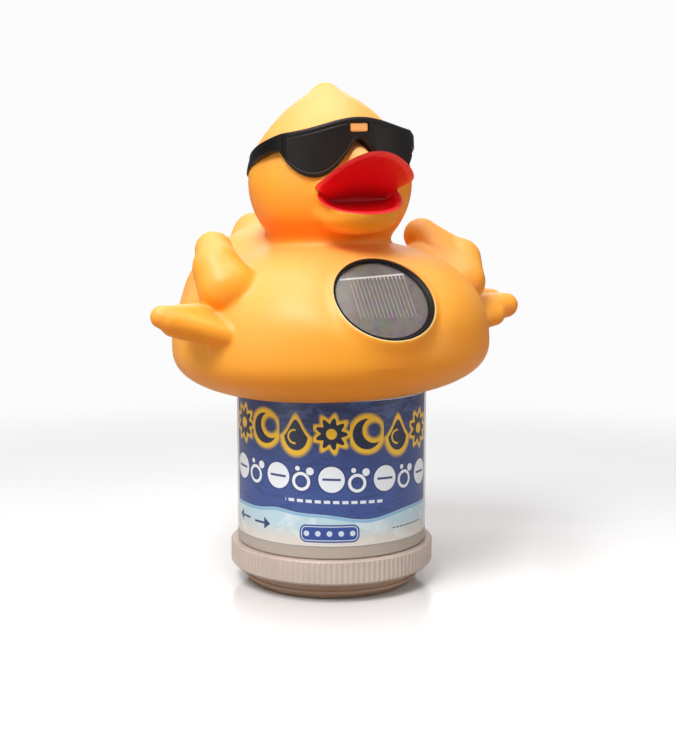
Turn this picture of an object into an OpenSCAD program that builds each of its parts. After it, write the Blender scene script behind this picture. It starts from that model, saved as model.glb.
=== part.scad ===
// Floating chlorine dispenser: a duck shaped vinyl float with a solar night
// light, over a screw-in tablet canister with a turning flow collar.
// Millimetres. Z is up, the duck looks along -Y, the canister axis is Z and
// the foot stands on Z = 0.

/* [Canister] */
// outer diameter of the tablet canister
canister_diameter = 96; // [95.5:0.1:96.2]
// wall thickness of the canister tube
canister_wall = 2.5; // [2:0.1:3]
// thickness of the printed wrap label
label_thickness = 0.25; // [0.2:0.05:0.4]
// half of the angle the label covers, degrees
label_half_angle = 73; // [40:1:150]
// height of the label's lower edge above the base
label_bottom = 28; // [26:0.5:40]
// height of the label's upper edge above the base
label_top = 98.2; // [80:0.1:98.3]

/* [Flow collar] */
// diameter over the collar's ribs
collar_diameter = 103; // [101:0.5:106]
// number of fine grip ribs
rib_count = 120; // [60:6:132]
// depth of each grip rib
rib_depth = 0.4; // [0.2:0.1:1]
// width of each water slot
vent_width = 10; // [6:0.5:11]
// thickness of the collar's webs
web_thickness = 2; // [1.5:0.1:3]

/* [Foot] */
// outer diameter of the foot
foot_diameter = 88; // [87:0.5:90]
// width of the drain slots in the foot plate and canister floor
drain_width = 3; // [2:0.1:4]

/* [Float] */
// thickness of the moulded vinyl wall
float_wall = 2.6; // [2.2:0.1:3]
// how far the sunglasses stand off the head
glasses_height = 2.8; // [2:0.1:3.5]

/* [Light module] */
// thickness of the clear cover over the solar disc
cover_thickness = 0.8; // [0.5:0.1:0.85]
// number of fine grid lines on the solar disc
grid_lines = 15; // [9:1:19]
// radius of each lamp
led_radius = 2.5; // [1.5:0.1:2.6]

/* [Hidden] */
$fn = 96;

canister_radius = canister_diameter/2;
collar_radius = collar_diameter/2;
foot_radius = foot_diameter/2;

light_centre = [1.7, -66.4, 148];   // centre of the flat that carries the light
light_tilt = 47;                    // tilt of the flat back from level
light_normal = [0, -sin(light_tilt), cos(light_tilt)];

lean_heading = 20;     // turn about Z of the axis that leans and rolls go round
body_lean = 1.6;
body_pivot = 125;      // height the body leans about
body_core = [0, 0, 134];
head_core = [0, 1, 201];
head_roll = -2.5;      // roll of the bill and sunglasses about the head's centre

socket_radius = 50.5;
socket_flange_radius = 53.5;
socket_gap = 0.3;      // radial gap between the cup and the float

// ------------------------------------------------ shared shapes
// box centred on the given point in x and y, standing on its z
module block(centre, size)
    translate([centre.x - size.x/2, centre.y - size.y/2, centre.z]) cube(size);

// bars pointing outward from the given radius, evenly spaced about Z
module spokes(count, first_angle, radius, z, size)
    for (i = [0:count - 1]) rotate([0, 0, 360/count*i + first_angle])
        translate([radius, -size.y/2, z]) cube(size);

module tube(outer, inner, height, cut_height) difference() {
    cylinder(r = outer, h = height);
    translate([0, 0, -1]) cylinder(r = inner, h = cut_height);
}

module cross_slot(z, size)
    for (angle = [0, 90]) rotate([0, 0, angle]) block([0, 0, z], size);

// hull of balls, each [x, y, z, radius]
module ball_hull(balls, facets) hull() for (ball = balls)
    translate([ball[0], ball[1], ball[2]]) sphere(r = ball[3], $fn = facets);

// ------------------------------------------------ polyhedron faces
// two triangles over four corners, split between the second and third
function quad(corner) = [[corner[0], corner[1], corner[2]], [corner[2], corner[1], corner[3]]];
function flipped(faces) = [for (face = faces) [for (i = [len(face) - 1:-1:0]) face[i]]];
// faces between two rings of count points, given the index of each ring's first point
function ring_band(low, high, count) = [for (i = [0:count - 1]) let(next = (i + 1) % count)
    each quad([low + i, high + i, low + next, high + next])];
// faces from a ring to a single point
function ring_fan(ring, tip, count) =
    [for (i = [0:count - 1]) [tip, ring + (i + 1) % count, ring + i]];

// ------------------------------------------------ float surface functions
// Distance fields: negative inside, zero on the surface.
function clamp(value, low, high) = min(max(value, low), high);
function smooth_min(first, second, blend) =
    let(mix = clamp(0.5 + 0.5*(second - first)/blend, 0, 1))
    second + (first - second)*mix - blend*mix*(1 - mix);
function smooth_max(first, second, blend) = -smooth_min(-first, -second, blend);
function ellipsoid(point, centre, radii) =
    let(offset = point - centre,
        unit = [offset.x/radii.x, offset.y/radii.y, offset.z/radii.z],
        size = norm(unit) + 1e-6,
        slope = norm([unit.x/radii.x, unit.y/radii.y, unit.z/radii.z]) + 1e-9)
    size*(size - 1)/slope;
// superellipsoid, round in plan
function superellipsoid(point, centre, radii, power) =
    let(x = (point.x - centre.x)/radii.x,
        y = (point.y - centre.y)/radii.y,
        plan = norm([x, y]) + 1e-6,
        rise = abs((point.z - centre.z)/radii.z) + 1e-6,
        size = pow(pow(plan, power) + pow(rise, power), 1/power),
        plan_slope = pow(plan/size, power - 1),
        rise_slope = pow(rise/size, power - 1),
        slope = norm([plan_slope*norm([x/radii.x, y/radii.y])/plan, rise_slope/radii.z]) + 1e-9)
    (size - 1)/slope;
// rod with round ends and a radius that runs from one end's to the other's
function tapered_rod(point, start, end, start_radius, end_radius) =
    let(span = end - start, along = clamp((point - start)*span/(span*span), 0, 1))
    norm(point - start - along*span) - (start_radius + (end_radius - start_radius)*along);

function turned(point, angle) = [cos(angle)*point.x - sin(angle)*point.y,
    sin(angle)*point.x + cos(angle)*point.y, point.z];
function leaned(point, angle, pivot) =
    let(start = turned(point, lean_heading), rise = start.z - pivot)
    turned([cos(angle)*start.x + sin(angle)*rise, start.y,
        -sin(angle)*start.x + cos(angle)*rise + pivot], -lean_heading);
function rolled(point) = leaned(point, head_roll, head_core.z);

// head with a crest on top
head_field = function(point) smooth_min(
    ellipsoid(point, [-0.3, 1, 201], [40.8, 40.3, 39]),
    tapered_rod(point, [-0.5, 3, 222], [0, 8.6, 242.4], 24, 8.4), 12);
rolled_head_field = function(point) head_field(rolled(point));

// hull, taller above its waist than below, with rump and tail, cut by the light's flat
body_field = function(point)
    let(upright = leaned(point, body_lean, body_pivot),
        aft = turned(upright, -15),
        middle = upright + [0.4, 0, 0],
        belly = middle.z > 122 ? superellipsoid(middle, [0, 0, 122], [79.8, 79, 51], 2.3)
            : superellipsoid(middle, [0, 0, 122], [79.8, 79, 28], 2.5),
        rump = smooth_min(belly, ellipsoid(aft, [0, 43, 147], [53, 41, 33.5]), 14),
        tail = smooth_min(rump, tapered_rod(aft, [2, 50, 156], [0, 70, 176], 22, 11), 16))
    smooth_max(tail, point*light_normal - light_centre*light_normal, 6);

// point on the ray where the field reaches level, by halving the range near..far
function hit(field, origin, heading, level, near = 5, far = 150, steps = 14) =
    let(middle = (near + far)/2)
    steps == 0 ? origin + heading*middle :
    field(origin + heading*middle) > level
        ? hit(field, origin, heading, level, near, middle, steps - 1)
        : hit(field, origin, heading, level, middle, far, steps - 1);
// unit vector at an elevation and azimuth, then tipped about X
function ray(elevation, azimuth, tip) =
    let(y = cos(elevation)*sin(azimuth), z = sin(elevation))
    [cos(elevation)*cos(azimuth), y*cos(tip) + z*sin(tip), -y*sin(tip) + z*cos(tip)];

// closed surface of the field at a level, seen from origin; alternate rows are staggered
module skin(field, origin, level, rows, columns, tip = 0) {
    elevations = [for (j = [0:rows - 1]) -90 + 180*(j + 1)/(rows + 1)];
    points = [for (j = [0:rows - 1]) for (i = [0:columns - 1])
        hit(field, origin, ray(elevations[j], 360*i/columns + 180*(j % 2)/columns,
            tip*max(elevations[j], 0)/90), level)];
    bottom = rows*columns;
    polyhedron(
        concat(points, [hit(field, origin, [0, 0, -1], level),
            hit(field, origin, ray(90, 0, tip), level)]),
        concat(
            [for (j = [0:rows - 2]) let(low = j*columns, high = low + columns)
                each (j % 2 == 0 ? ring_band(low, high, columns)
                    : flipped(ring_band(high, low, columns)))],
            flipped(ring_fan(0, bottom, columns)),
            ring_fan(bottom - columns, bottom + 1, columns)),
        convexity = 6);
}
module body_skin(level, rows, columns) skin(body_field, body_core, level, rows, columns);
module head_skin(level, rows, columns) skin(head_field, head_core, level, rows, columns, 10.5);

// ------------------------------------------------ beak surface
// The open bill. "around" runs 0..1 round the mouth, upper lip first;
// "across" runs 0..1 from the rim inward to the throat or back to the head.
bill_rows = 5;
bill_gap = 0.25;       // gap between the bill and its seat in the float
bill_back = [0, -33, 195];
bill_throat = [0, -37, 191.8];

function rim(around, grow = 0) = around < 0.5 ?
    let(angle = -125 + 500*around, peak = pow((1 + cos(angle))/2, 3.5))
    [(22.5 + grow)*sin(angle), -45 - (16.5 + grow)*cos(angle),
        198.2 + 13.8*peak - 2*pow(abs(angle)/125, 4) + grow*(0.35 + 0.65*peak)] :
    let(angle = 125 - 500*(around - 0.5), side = abs(angle)/125)
    [(16 + 6.8*side*side*side + grow)*sin(angle), -42.2 - (12.3 + grow)*cos(angle),
        186.3 + 10*pow(side, 2.2) - grow*(1 - side)];
// half-ellipses above and below a centre, in a plane across Y
function oval(around, centre, half_width, upper, lower) = let(angle = around*360 - 90)
    centre + [half_width*sin(angle), 0, (around < 0.5 ? upper : lower)*cos(angle)];
// vertical swelling midway across, fading at the corners of the mouth
function swell(around, across, upper, lower) = [0, 0, sin(180*across)
    *(around < 0.5 ? upper : -lower)*pow(abs(cos(around*360 - 90)), 0.7)];
function bill_inside(around, across) =
    let(start = rim(around), end = oval(around, bill_throat, 13.5, 1.7, 1.2))
    rolled(start + (end - start)*across + swell(around, across, 1, 1.2));
function bill_outside(around, across, gap) =
    let(start = rim(around, 1.3 + gap),
        end = oval(around, bill_back + [0, gap*0.5, 0], 19.5 + gap, 11.5 + gap, 10.5 + gap))
    rolled(start + (end - start)*across + swell(around, across, -0.5, -0.4));
function outside_points(count, gap) = [for (j = [0:bill_rows]) for (i = [0:count - 1])
    bill_outside(i/count, j/bill_rows, gap)];
function bill_bands(first, count) = [for (j = [0:bill_rows - 1])
    each ring_band(first + j*count, first + (j + 1)*count, count)];

module beak() color([0.85, 0.05, 0.06]) {
    count = 56;
    inside = [for (j = [0:bill_rows]) for (i = [0:count - 1])
        bill_inside(i/count, j/bill_rows)];
    outer = len(inside);
    tips = 2*outer;
    polyhedron(
        concat(inside, outside_points(count, 0), [rolled([0, -36.6, 191.8]), rolled(bill_back)]),
        concat(
            flipped(bill_bands(0, count)),
            flipped(ring_fan(outer - count, tips, count)),
            bill_bands(outer, count),
            ring_fan(tips - count, tips + 1, count),
            ring_band(0, outer, count)),
        convexity = 8);
}

// the bill's envelope, filled across the mouth
module bill_plug(gap) {
    count = 48;
    points = outside_points(count, gap);
    tips = len(points);
    polyhedron(
        concat(points, [rolled([0, -54, 202]), rolled(bill_back + [0, gap*0.5, 0])]),
        concat(
            bill_bands(0, count),
            ring_fan(tips - count, tips + 1, count),
            flipped(ring_fan(0, tips, count))),
        convexity = 8);
}

// ------------------------------------------------ sunglasses surface
// Angles run round the head, zero at the front (-Y).
glasses_columns = 72;
glasses_rows = 6;
glasses_half_span = 112;
glasses_gap = 0.3;          // gap between the sunglasses and the head
glasses_base_radius = 40.2;
lens_angle = 29.8;          // lowest point of each lens
lens_inner_span = 23.5;
lens_outer_span = 25;

function glasses_top(angle) = let(side = abs(angle))
    230.4 - 6.2*(1 - exp(-side*side/900)) - 10.5*pow(max(side - 52, 0)/55, 1.15);
function glasses_bottom(angle) =
    let(side = abs(angle),
        lens = (side - lens_angle)/(side < lens_angle ? lens_inner_span : lens_outer_span))
    side < 6.3 ? 216 + 3.8*(1 - side*side/39.7) :
    abs(lens) < 1 ? 216 - 13*(1 - lens*lens) : min(216, glasses_top(angle) - 7);
// the front stands nearly upright, so it is well clear of the brow at the top
function glasses_radius(angle) =
    glasses_base_radius + glasses_height - 3.2*pow(max(abs(angle) - 60, 0)/52, 1.5);
// point on the head's axis, level with a place on the glasses; up runs 0..1 bottom to top
function glasses_axis(angle, up) = let(low = glasses_bottom(angle))
    [head_core.x, head_core.y, low + (glasses_top(angle) - low)*up];
function glasses_heading(angle) = [sin(angle), -cos(angle), 0];
function glasses_back(angle, up) =
    hit(rolled_head_field, glasses_axis(angle, up), glasses_heading(angle), glasses_gap, 5, 60);
// at least 1 mm thick, with eased upper and lower edges
function glasses_front(angle, up) =
    let(axis = glasses_axis(angle, up),
        edge = pow(abs(2*up - 1), 6),
        back_radius = norm(glasses_back(angle, up) - axis))
    axis + max(glasses_radius(angle) - 1.3*edge, back_radius + 1)*glasses_heading(angle);

module sunglasses() color([0.03, 0.03, 0.035]) difference() {
    angles = [for (i = [0:glasses_columns])
        -glasses_half_span + 2*glasses_half_span*i/glasses_columns];
    front = [for (angle = angles) for (j = [0:glasses_rows])
        rolled(glasses_front(angle, j/glasses_rows))];
    rear = [for (angle = angles) for (j = [0:glasses_rows])
        rolled(glasses_back(angle, j/glasses_rows))];
    step = glasses_rows + 1;     // points in a column
    behind = len(front);         // from a front point to the one behind it
    polyhedron(concat(front, rear), concat(
        // front and rear
        [for (i = [0:glasses_columns - 1]) for (j = [0:glasses_rows - 1])
            let(a = i*step + j, b = a + behind)
            each concat(quad([a, a + 1, a + step, a + step + 1]),
                quad([b, b + step, b + 1, b + step + 1]))],
        // lower and upper edges
        [for (i = [0:glasses_columns - 1]) let(a = i*step, b = a + glasses_rows)
            each concat(quad([a, a + step, behind + a, behind + a + step]),
                quad([b, behind + b, b + step, behind + b + step]))],
        // two ends
        [for (j = [0:glasses_rows - 1]) let(a = j, b = glasses_columns*step + j)
            each concat(quad([a, behind + a, a + 1, behind + a + 1]),
                quad([b, b + 1, behind + b, behind + b + 1]))]), convexity = 8);
    // window over the bridge
    translate([0, -38, 225.4]) rotate([90, 0, 0]) linear_extrude(height = 30, center = true)
        polygon([[-4.9, -1.6], [-4, -2.5], [4, -2.5], [4.9, -1.6],
            [4.5, 1.6], [3.8, 2.4], [-3.8, 2.4], [-4.5, 1.6]]);
}

// ------------------------------------------------ float parts
neck_radius = 28.6;

module at_light() translate(light_centre) rotate([light_tilt, 0, 0]) children();

module at_wings() translate([0, 0, body_pivot])
    rotate([0, 0, -lean_heading]) rotate([0, body_lean, 0]) rotate([0, 0, lean_heading])
    translate([0, 0, -body_pivot]) rotate([0, 0, 15]) translate([3, 0, 0]) children();

// Wing tables, balls as [x, y, z, radius]. The lobe is the upper part, the bump
// fills in beside it, and each feather has a root and a tip.
left_lobe = [[60, 9, 175, 8.5], [75.2, -6, 163, 9.5], [68.6, -17, 152, 10.5]];
left_bump = [[52, 2, 160, 11], [67, -16, 151, 11]];
left_feathers = [
    [[60, -17, 130, 8.5], [90, -19, 133.5, 5]],
    [[60, -12, 133, 10], [102, -14, 138.5, 6.3]],
    [[58, -4, 136, 9.5], [99, -5, 141, 5.5]],
    [[56, 5, 138, 9], [94, 2, 143, 5]]];
// the right wing is given mirrored, on the +X side
right_lobe = [[67.2, 8.3, 167, 8], [74, -5.2, 160, 9.6], [72.8, -9.9, 151.6, 12]];
right_bump = [[65.9, -13.3, 151.4, 8.2], [72.8, -9.9, 151.6, 12], [60, -6, 150, 9]];
right_feathers = [
    [[81.4, -20.8, 130.3, 7.6], [97.7, -14.6, 134, 6]],
    [[69.6, -16.9, 133.5, 8.8], [106.3, -14, 138, 5.3]],
    [[58.3, -1.6, 135, 8.5], [93, -5, 138.3, 4.6]]];

module wing(lobe, bump, feathers) {
    ball_hull(lobe, 16);
    ball_hull(bump, 14);
    for (i = [0:len(feathers) - 2]) ball_hull(concat(feathers[i], feathers[i + 1]), 14);
}

module chin() hull() {
    translate([0, -36, 184.5]) scale([18.5, 18, 8.5]) sphere(r = 1, $fn = 30);
    translate([0, -45.2, 184.6]) scale([14, 8.6, 4]) sphere(r = 1, $fn = 30);
}

module float_solid() {
    body_skin(0, 29, 60);
    head_skin(0, 25, 40);
    translate([-0.5, 0, 150]) cylinder(r = neck_radius, h = 36, $fn = 60);
    at_light() translate([0, 0, -12]) cylinder(r1 = 31, r2 = 24.9, h = 11.9, $fn = 72);
    at_wings() wing(left_lobe, left_bump, left_feathers);
    at_wings() mirror([1, 0, 0]) wing(right_lobe, right_bump, right_feathers);
    // ridge over the bill
    ball_hull([[0, -36.2, 213.7, 4.2], [0, -45, 208.3, 6.2]], 20);
    // block in the sunglasses' window
    block([0, -35.6, 223.4], [8.4, 10, 3.8]);
    chin();
}

// hollow of the float, leaving material round the socket, light and bill
module float_cavity() difference() {
    union() {
        body_skin(-float_wall, 19, 40);
        head_skin(-float_wall, 15, 30);
        translate([-0.5, 0, 150]) cylinder(r = neck_radius - float_wall, h = 36, $fn = 48);
    }
    translate([0, 0, 80]) cylinder(r = 62, h = 27, $fn = 48);
    at_light() translate([0, 0, -11.4]) cylinder(r = 31, h = 30, $fn = 48);
    translate([0, -38, 195]) scale([26, 16, 17]) sphere(r = 1, $fn = 24);
}

module float_shell() color([0.98, 0.73, 0.26]) difference() {
    union() float_solid();
    float_cavity();
    // mouth and seat of the socket cup
    translate([0, 0, 80]) cylinder(r = 49.2, h = 30, $fn = 72);
    translate([0, 0, 100.5]) cylinder(r = socket_radius + socket_gap, h = 40, $fn = 72);
    translate([0, 0, 102.9]) cylinder(r = socket_flange_radius + socket_gap, h = 2.2, $fn = 72);
    // bore for the light, wider behind its flange
    at_light() translate([0, 0, -20]) cylinder(r = 24.25, h = 40, $fn = 72);
    at_light() translate([0, 0, -30]) cylinder(r = 27.6, h = 18.6, $fn = 72);
    bill_plug(bill_gap);
}

// ------------------------------------------------ thread
thread_lead = 18;      // rise per turn
thread_starts = 3;
thread_span = 84;      // degrees covered by each ridge
thread_steps = 21;
root_width = 2.6;
crest_width = 1.2;

// helical ridges; the crest is inside the root on a female thread
module thread(root, crest, z) {
    points = [for (i = [0:thread_steps])
        let(angle = thread_span*i/thread_steps, height = z + thread_lead*angle/360,
            x = cos(angle), y = sin(angle))
        each [[root*x, root*y, height - root_width/2], [crest*x, crest*y, height - crest_width/2],
            [crest*x, crest*y, height + crest_width/2], [root*x, root*y, height + root_width/2]]];
    last = 4*thread_steps;
    faces = concat(
        [for (i = [0:thread_steps - 1]) for (j = [0:3]) let(a = 4*i + j, b = 4*i + (j + 1) % 4)
            each quad([a, a + 4, b, b + 4])],
        [[0, 1, 2, 3], [last + 3, last + 2, last + 1, last]]);
    for (i = [0:thread_starts - 1]) rotate([0, 0, 360/thread_starts*i + 10])
        polyhedron(points, root > crest ? faces : flipped(faces), convexity = 4);
}

// moulded-in cup that closes the float and takes the canister's thread
module socket_cup() color([0.93, 0.93, 0.92]) {
    rotate_extrude() polygon([[46, 100.6], [socket_radius, 100.6], [socket_radius, 103],
        [socket_flange_radius, 103], [socket_flange_radius, 105], [socket_radius, 105],
        [socket_radius, 122], [48.5, 124], [0, 124], [0, 121.2], [45, 121.2], [46, 120.2]]);
    thread(root = 46.06, crest = 44.15, z = 103.2);
}

// ------------------------------------------------ light module, local z = outward
posts = [[0, 17.4], [-15.1, -8.7], [15.1, -8.7]];
cell_shift = [-0.7, 0.4];  // the disc sits slightly off centre in its cup
cell_radius = 22.1;
cell_leads = [3, -3];      // wires to the solar disc, at +x and -x
switch_y = -11;
switch_leads = [4, switch_y];
cover_radius = 22.6;
battery_y = 1;
grid_pitch = 1.95;
grid_thickness = 0.1;

module at_posts(z) for (post = posts) translate([post.x, post.y, z]) children();
module at_pair(place, z) for (side = [-1, 1]) translate([place.x*side, place.y, z]) children();
module at_cell(z) translate([cell_shift.x, cell_shift.y, z]) children();

module solar_housing() color([0.05, 0.05, 0.055]) at_light() difference() {
    union() {
        translate([0, 0, -4.2]) cylinder(r = 23.9, h = 3.7);
        translate([0, 0, -25.5]) cylinder(r = 22.8, h = 21.4);
        translate([0, 0, -13.6]) cylinder(r = 27, h = 2.1);
    }
    // cup for the disc, with a flared lip
    at_cell(-3.05) cylinder(r = 22.2, h = 6);
    translate([0, 0, -1.2]) cylinder(r1 = 22.2, r2 = 23.4, h = 0.9);
    // room behind, with posts and pegs left standing
    difference() {
        translate([0, 0, -30]) cylinder(r = 21.2, h = 24.2);
        at_posts(-24.4) cylinder(r = 2.6, h = 20, $fn = 32);
        for (angle = [30, 150, 270]) rotate([0, 0, angle])
            translate([12, 0, -7]) cylinder(r = 1.6, h = 3, $fn = 24);
    }
    at_posts(-26) cylinder(r = 1.25, h = 10, $fn = 24);
    at_pair(cell_leads, -7) cylinder(r = 0.9, h = 5, $fn = 24);
}

module seal_ring() color([0.08, 0.08, 0.08]) at_light()
    translate([0, 0, -10.6]) tube(24.15, 22.9, 6.2, 9);

module solar_cell() color([0.47, 0.43, 0.42]) at_light()
    at_cell(-3) cylinder(r = cell_radius, h = 0.8);

// one wide bar across many fine lines, trimmed to the disc
module cell_grid() color([0.85, 0.85, 0.86]) at_light() at_cell(-2.19) intersection() {
    cylinder(r = 21.6, h = grid_thickness);
    union() {
        translate([0, 14.1, 0]) rotate([0, 0, 4.5])
            block([0, 0, 0], [50, 0.9, grid_thickness]);
        for (i = [0:grid_lines - 1])
            translate([(i - (grid_lines - 1)/2)*grid_pitch + 0.8, -9.8, 0])
                cube([0.3, 24.2, grid_thickness]);
    }
}

module cell_cover() color([0.8, 0.85, 0.9, 0.35]) at_light()
    at_cell(-2.05) cylinder(r = cell_radius, h = cover_thickness);

module circuit_board() color([0.1, 0.4, 0.2]) at_light() translate([0, 0, -8.6]) difference() {
    cylinder(r = 20.6, h = 1.55);
    at_posts(-1) cylinder(r = 3, h = 4, $fn = 32);
    for (leads = [cell_leads, switch_leads])
        at_pair(leads, -1) cylinder(r = 0.6, h = 5, $fn = 24);
}

module leds() color([0.95, 0.95, 0.9]) at_light() at_pair([7, 10.8], -8.65) rotate([180, 0, 0]) {
    cylinder(r = led_radius, h = 4, $fn = 32);
    cylinder(r = led_radius + 0.4, h = 0.8, $fn = 32);
    translate([0, 0, 4]) sphere(r = led_radius, $fn = 32);
}

module battery() color([0.2, 0.5, 0.3]) at_light()
    translate([0, battery_y, -15]) rotate([0, 90, 0]) {
        translate([0, 0, -14]) cylinder(r = 5.1, h = 27.4, $fn = 48);
        translate([0, 0, 13.4]) cylinder(r = 1.8, h = 1, $fn = 32);
    }

// an upright plate at each end of the battery, with a foot turned outward
module battery_clips() color([0.8, 0.8, 0.82]) at_light() for (side = [-1, 1]) {
    block([14.65*side, battery_y, -18], [0.4, 7, 9.3]);
    block([15.95*side, battery_y, -9.1], [3, 7, 0.4]);
}

module lead_wires() color([0.7, 0.1, 0.1]) at_light() {
    at_pair(cell_leads, -8.9) cylinder(r = 0.5, h = 5.85, $fn = 24);
    at_pair(switch_leads, -19.45) cylinder(r = 0.5, h = 12.2, $fn = 24);
}

module switch_body() color([0.15, 0.15, 0.15]) at_light() difference() {
    block([0, switch_y, -26.05], [14, 6, 6.55]);
    block([0, switch_y, -27], [9.2, 3.2, 6.1]);
}

module switch_knob() color([0.9, 0.9, 0.9]) at_light() {
    block([-1.5, switch_y, -24.35], [5.8, 3, 3.3]);
    block([-1.5, switch_y, -29.2], [3, 2.4, 5]);
}

module cover_gasket() color([0.1, 0.1, 0.1]) at_light()
    translate([0, 0, -26.05]) tube(cover_radius, 21.4, 0.5, 3);

module back_cover() color([0.93, 0.93, 0.9, 0.7]) at_light() difference() {
    union() {
        translate([0, 0, -28]) cylinder(r = cover_radius, h = 1.9);
        translate([0, 0, -26.2]) cylinder(r = 21.0, h = 1.7);
    }
    translate([0, 0, -26.1]) cylinder(r = 19.4, h = 3);
    at_posts(-29) cylinder(r = 1.35, h = 6, $fn = 24);
    at_posts(-26.15) cylinder(r = 2.9, h = 3, $fn = 32);
    block([0, switch_y, -29], [6.8, 3.2, 4]);
}

module cover_screws() color([0.75, 0.75, 0.77]) at_light() at_posts(0) difference() {
    union() {
        translate([0, 0, -28.3]) cylinder(r = 1.2, h = 11.3, $fn = 24);
        translate([0, 0, -29.4]) cylinder(r1 = 1.9, r2 = 2.4, h = 1.35, $fn = 32);
    }
    cross_slot(-29.5, [3, 0.6, 0.8]);
}

// ------------------------------------------------ canister, collar and foot
// Profiles are [radius, z].
vent_count = 8;
drain_count = 16;
rib_points = 6;        // outline points per rib

// water slots between the webs
module vents(radius, length)
    spokes(vent_count, 180/vent_count, radius, 12.4, [length, vent_width, 5.6]);
module drains(z) spokes(drain_count, 0, 12, z, [22, drain_width, 6]);

module canister() color([0.94, 0.93, 0.92]) difference() {
    bore = canister_radius - canister_wall;
    union() {
        rotate_extrude() polygon([[0, 7.4], [42, 7.4], [42, 21.4], [canister_radius - 0.8, 21.4],
            [canister_radius, 22.2], [canister_radius, 98.4], [canister_radius - 0.6, 99],
            [43.5, 99], [43.5, 118.4], [43, 119], [40.4, 119], [40.4, 101], [bore, 95],
            [bore, 27], [39.6, 22], [39.6, 10.2], [6, 10.2], [6, 16], [0, 16]]);
        thread(root = 43.44, crest = 45.4, z = 105.2);
        // turning stop
        intersection() {
            translate([0, 0, 19.2]) cylinder(r = 43.2, h = 1.4);
            block([43, 0, 19], [4, 4.4, 2]);
        }
    }
    vents(36, 8);
    drains(6);
    translate([0, 0, 6]) cylinder(r = 1.8, h = 9.4, $fn = 32);
}

module label() color([0.25, 0.38, 0.62]) rotate([0, 0, -110 - label_half_angle])
    rotate_extrude(angle = 2*label_half_angle) translate([canister_radius + 0.02, label_bottom])
        square([label_thickness, label_top - label_bottom]);

module neck_gasket() color([0.2, 0.2, 0.2]) rotate_extrude()
    translate([43.75, 99.05]) square([3.4, 1.45]);

function rib_radius(angle) = collar_radius - rib_depth*(0.5 - 0.5*cos(rib_count*angle));

module flow_collar() color([0.86, 0.83, 0.8]) difference() {
    // ribbed ring with bevelled edges
    intersection() {
        translate([0, 0, 9.2]) linear_extrude(height = 12)
            polygon([for (i = [0:rib_count*rib_points - 1])
                let(angle = 360*i/(rib_count*rib_points))
                rib_radius(angle)*[cos(angle), sin(angle)]]);
        rotate_extrude() polygon([[41, 9], [collar_radius - 1.4, 9], [collar_radius + 0.2, 10.8],
            [collar_radius + 0.2, 20.2], [collar_radius - 0.8, 21.3], [41, 21.3]]);
    }
    // bore that runs on the canister's spigot
    translate([0, 0, 8]) cylinder(r = 42.08, h = 15);
    // water channel, open below, crossed by webs
    difference() {
        translate([0, 0, 8]) tube(47.8, 44.2, 10.7, 13);
        spokes(vent_count, 0, 40, 12, [10, web_thickness, 12]);
    }
    // ports through the inner sleeve
    vents(40, 6);
    // room for the turning stop
    translate([0, 0, 18.9]) rotate([0, 0, -26])
        rotate_extrude(angle = 29.5) translate([40, 0]) square([3.45, 4]);
    // skirt sits clear of the foot
    translate([0, 0, 8.9]) tube(foot_radius + 0.6, 40, 0.5, 3);
}

module base_foot() color([0.72, 0.66, 0.61]) difference() {
    rotate_extrude() polygon([[0, 4.6], [37.2, 4.6], [37.6, 4.2], [37.6, 0],
        [foot_radius - 3.4, 0], [foot_radius - 2.6, 0.5], [foot_radius, 3],
        [foot_radius, 4.4], [foot_radius - 0.6, 4.6], [foot_radius - 0.6, 5],
        [foot_radius - 0.2, 5.2], [foot_radius - 0.2, 9.3], [42.1, 9.3], [42.1, 7.35], [0, 7.35]]);
    drains(3);
    translate([0, 0, 3]) cylinder(r = 1.85, h = 6, $fn = 32);
}

module screw_washer() color([0.15, 0.15, 0.15]) translate([0, 0, 3.7]) difference() {
    cylinder(r = 5.2, h = 0.85, $fn = 48);
    translate([0, 0, -1]) cylinder(r = 1.85, h = 3, $fn = 32);
}

module centre_screw() color([0.75, 0.75, 0.77]) difference() {
    union() {
        translate([0, 0, 3]) cylinder(r = 1.75, h = 12.2, $fn = 32);
        rotate_extrude($fn = 48)
            polygon([[0, 1.4], [3.2, 1.4], [4, 2.2], [4, 3.65], [0, 3.65]]);
    }
    cross_slot(1, [5.2, 1, 1.7]);
}

float_shell();
beak();
sunglasses();
socket_cup();
solar_housing();
seal_ring();
solar_cell();
cell_grid();
cell_cover();
circuit_board();
leds();
battery();
battery_clips();
lead_wires();
switch_body();
switch_knob();
cover_gasket();
back_cover();
cover_screws();
canister();
label();
neck_gasket();
flow_collar();
base_foot();
screw_washer();
centre_screw();
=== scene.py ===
# A floating pool dispenser: a hollow yellow vinyl duck with a red bill and black sunglasses,
# a solar light in its chest and a labelled canister below. Up is +Z and the duck faces -Y.
# Shapes are worked out in millimetres and scaled to metres when a mesh is made.
import math
import bmesh
import bpy
import numpy as np
import openvdb as vdb
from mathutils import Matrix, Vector


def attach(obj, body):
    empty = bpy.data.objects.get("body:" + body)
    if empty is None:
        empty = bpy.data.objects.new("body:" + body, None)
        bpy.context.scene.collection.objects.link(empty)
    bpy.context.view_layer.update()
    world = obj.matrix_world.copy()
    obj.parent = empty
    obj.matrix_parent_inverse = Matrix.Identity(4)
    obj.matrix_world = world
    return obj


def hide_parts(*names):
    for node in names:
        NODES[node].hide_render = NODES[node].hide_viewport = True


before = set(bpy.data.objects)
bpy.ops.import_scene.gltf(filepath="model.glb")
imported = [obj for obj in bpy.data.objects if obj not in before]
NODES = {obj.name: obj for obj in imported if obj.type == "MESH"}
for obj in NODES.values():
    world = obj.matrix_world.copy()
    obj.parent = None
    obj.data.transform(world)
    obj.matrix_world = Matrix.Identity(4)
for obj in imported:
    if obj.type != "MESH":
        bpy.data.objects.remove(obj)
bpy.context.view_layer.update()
MM = 0.001
scene = bpy.context.scene

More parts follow.
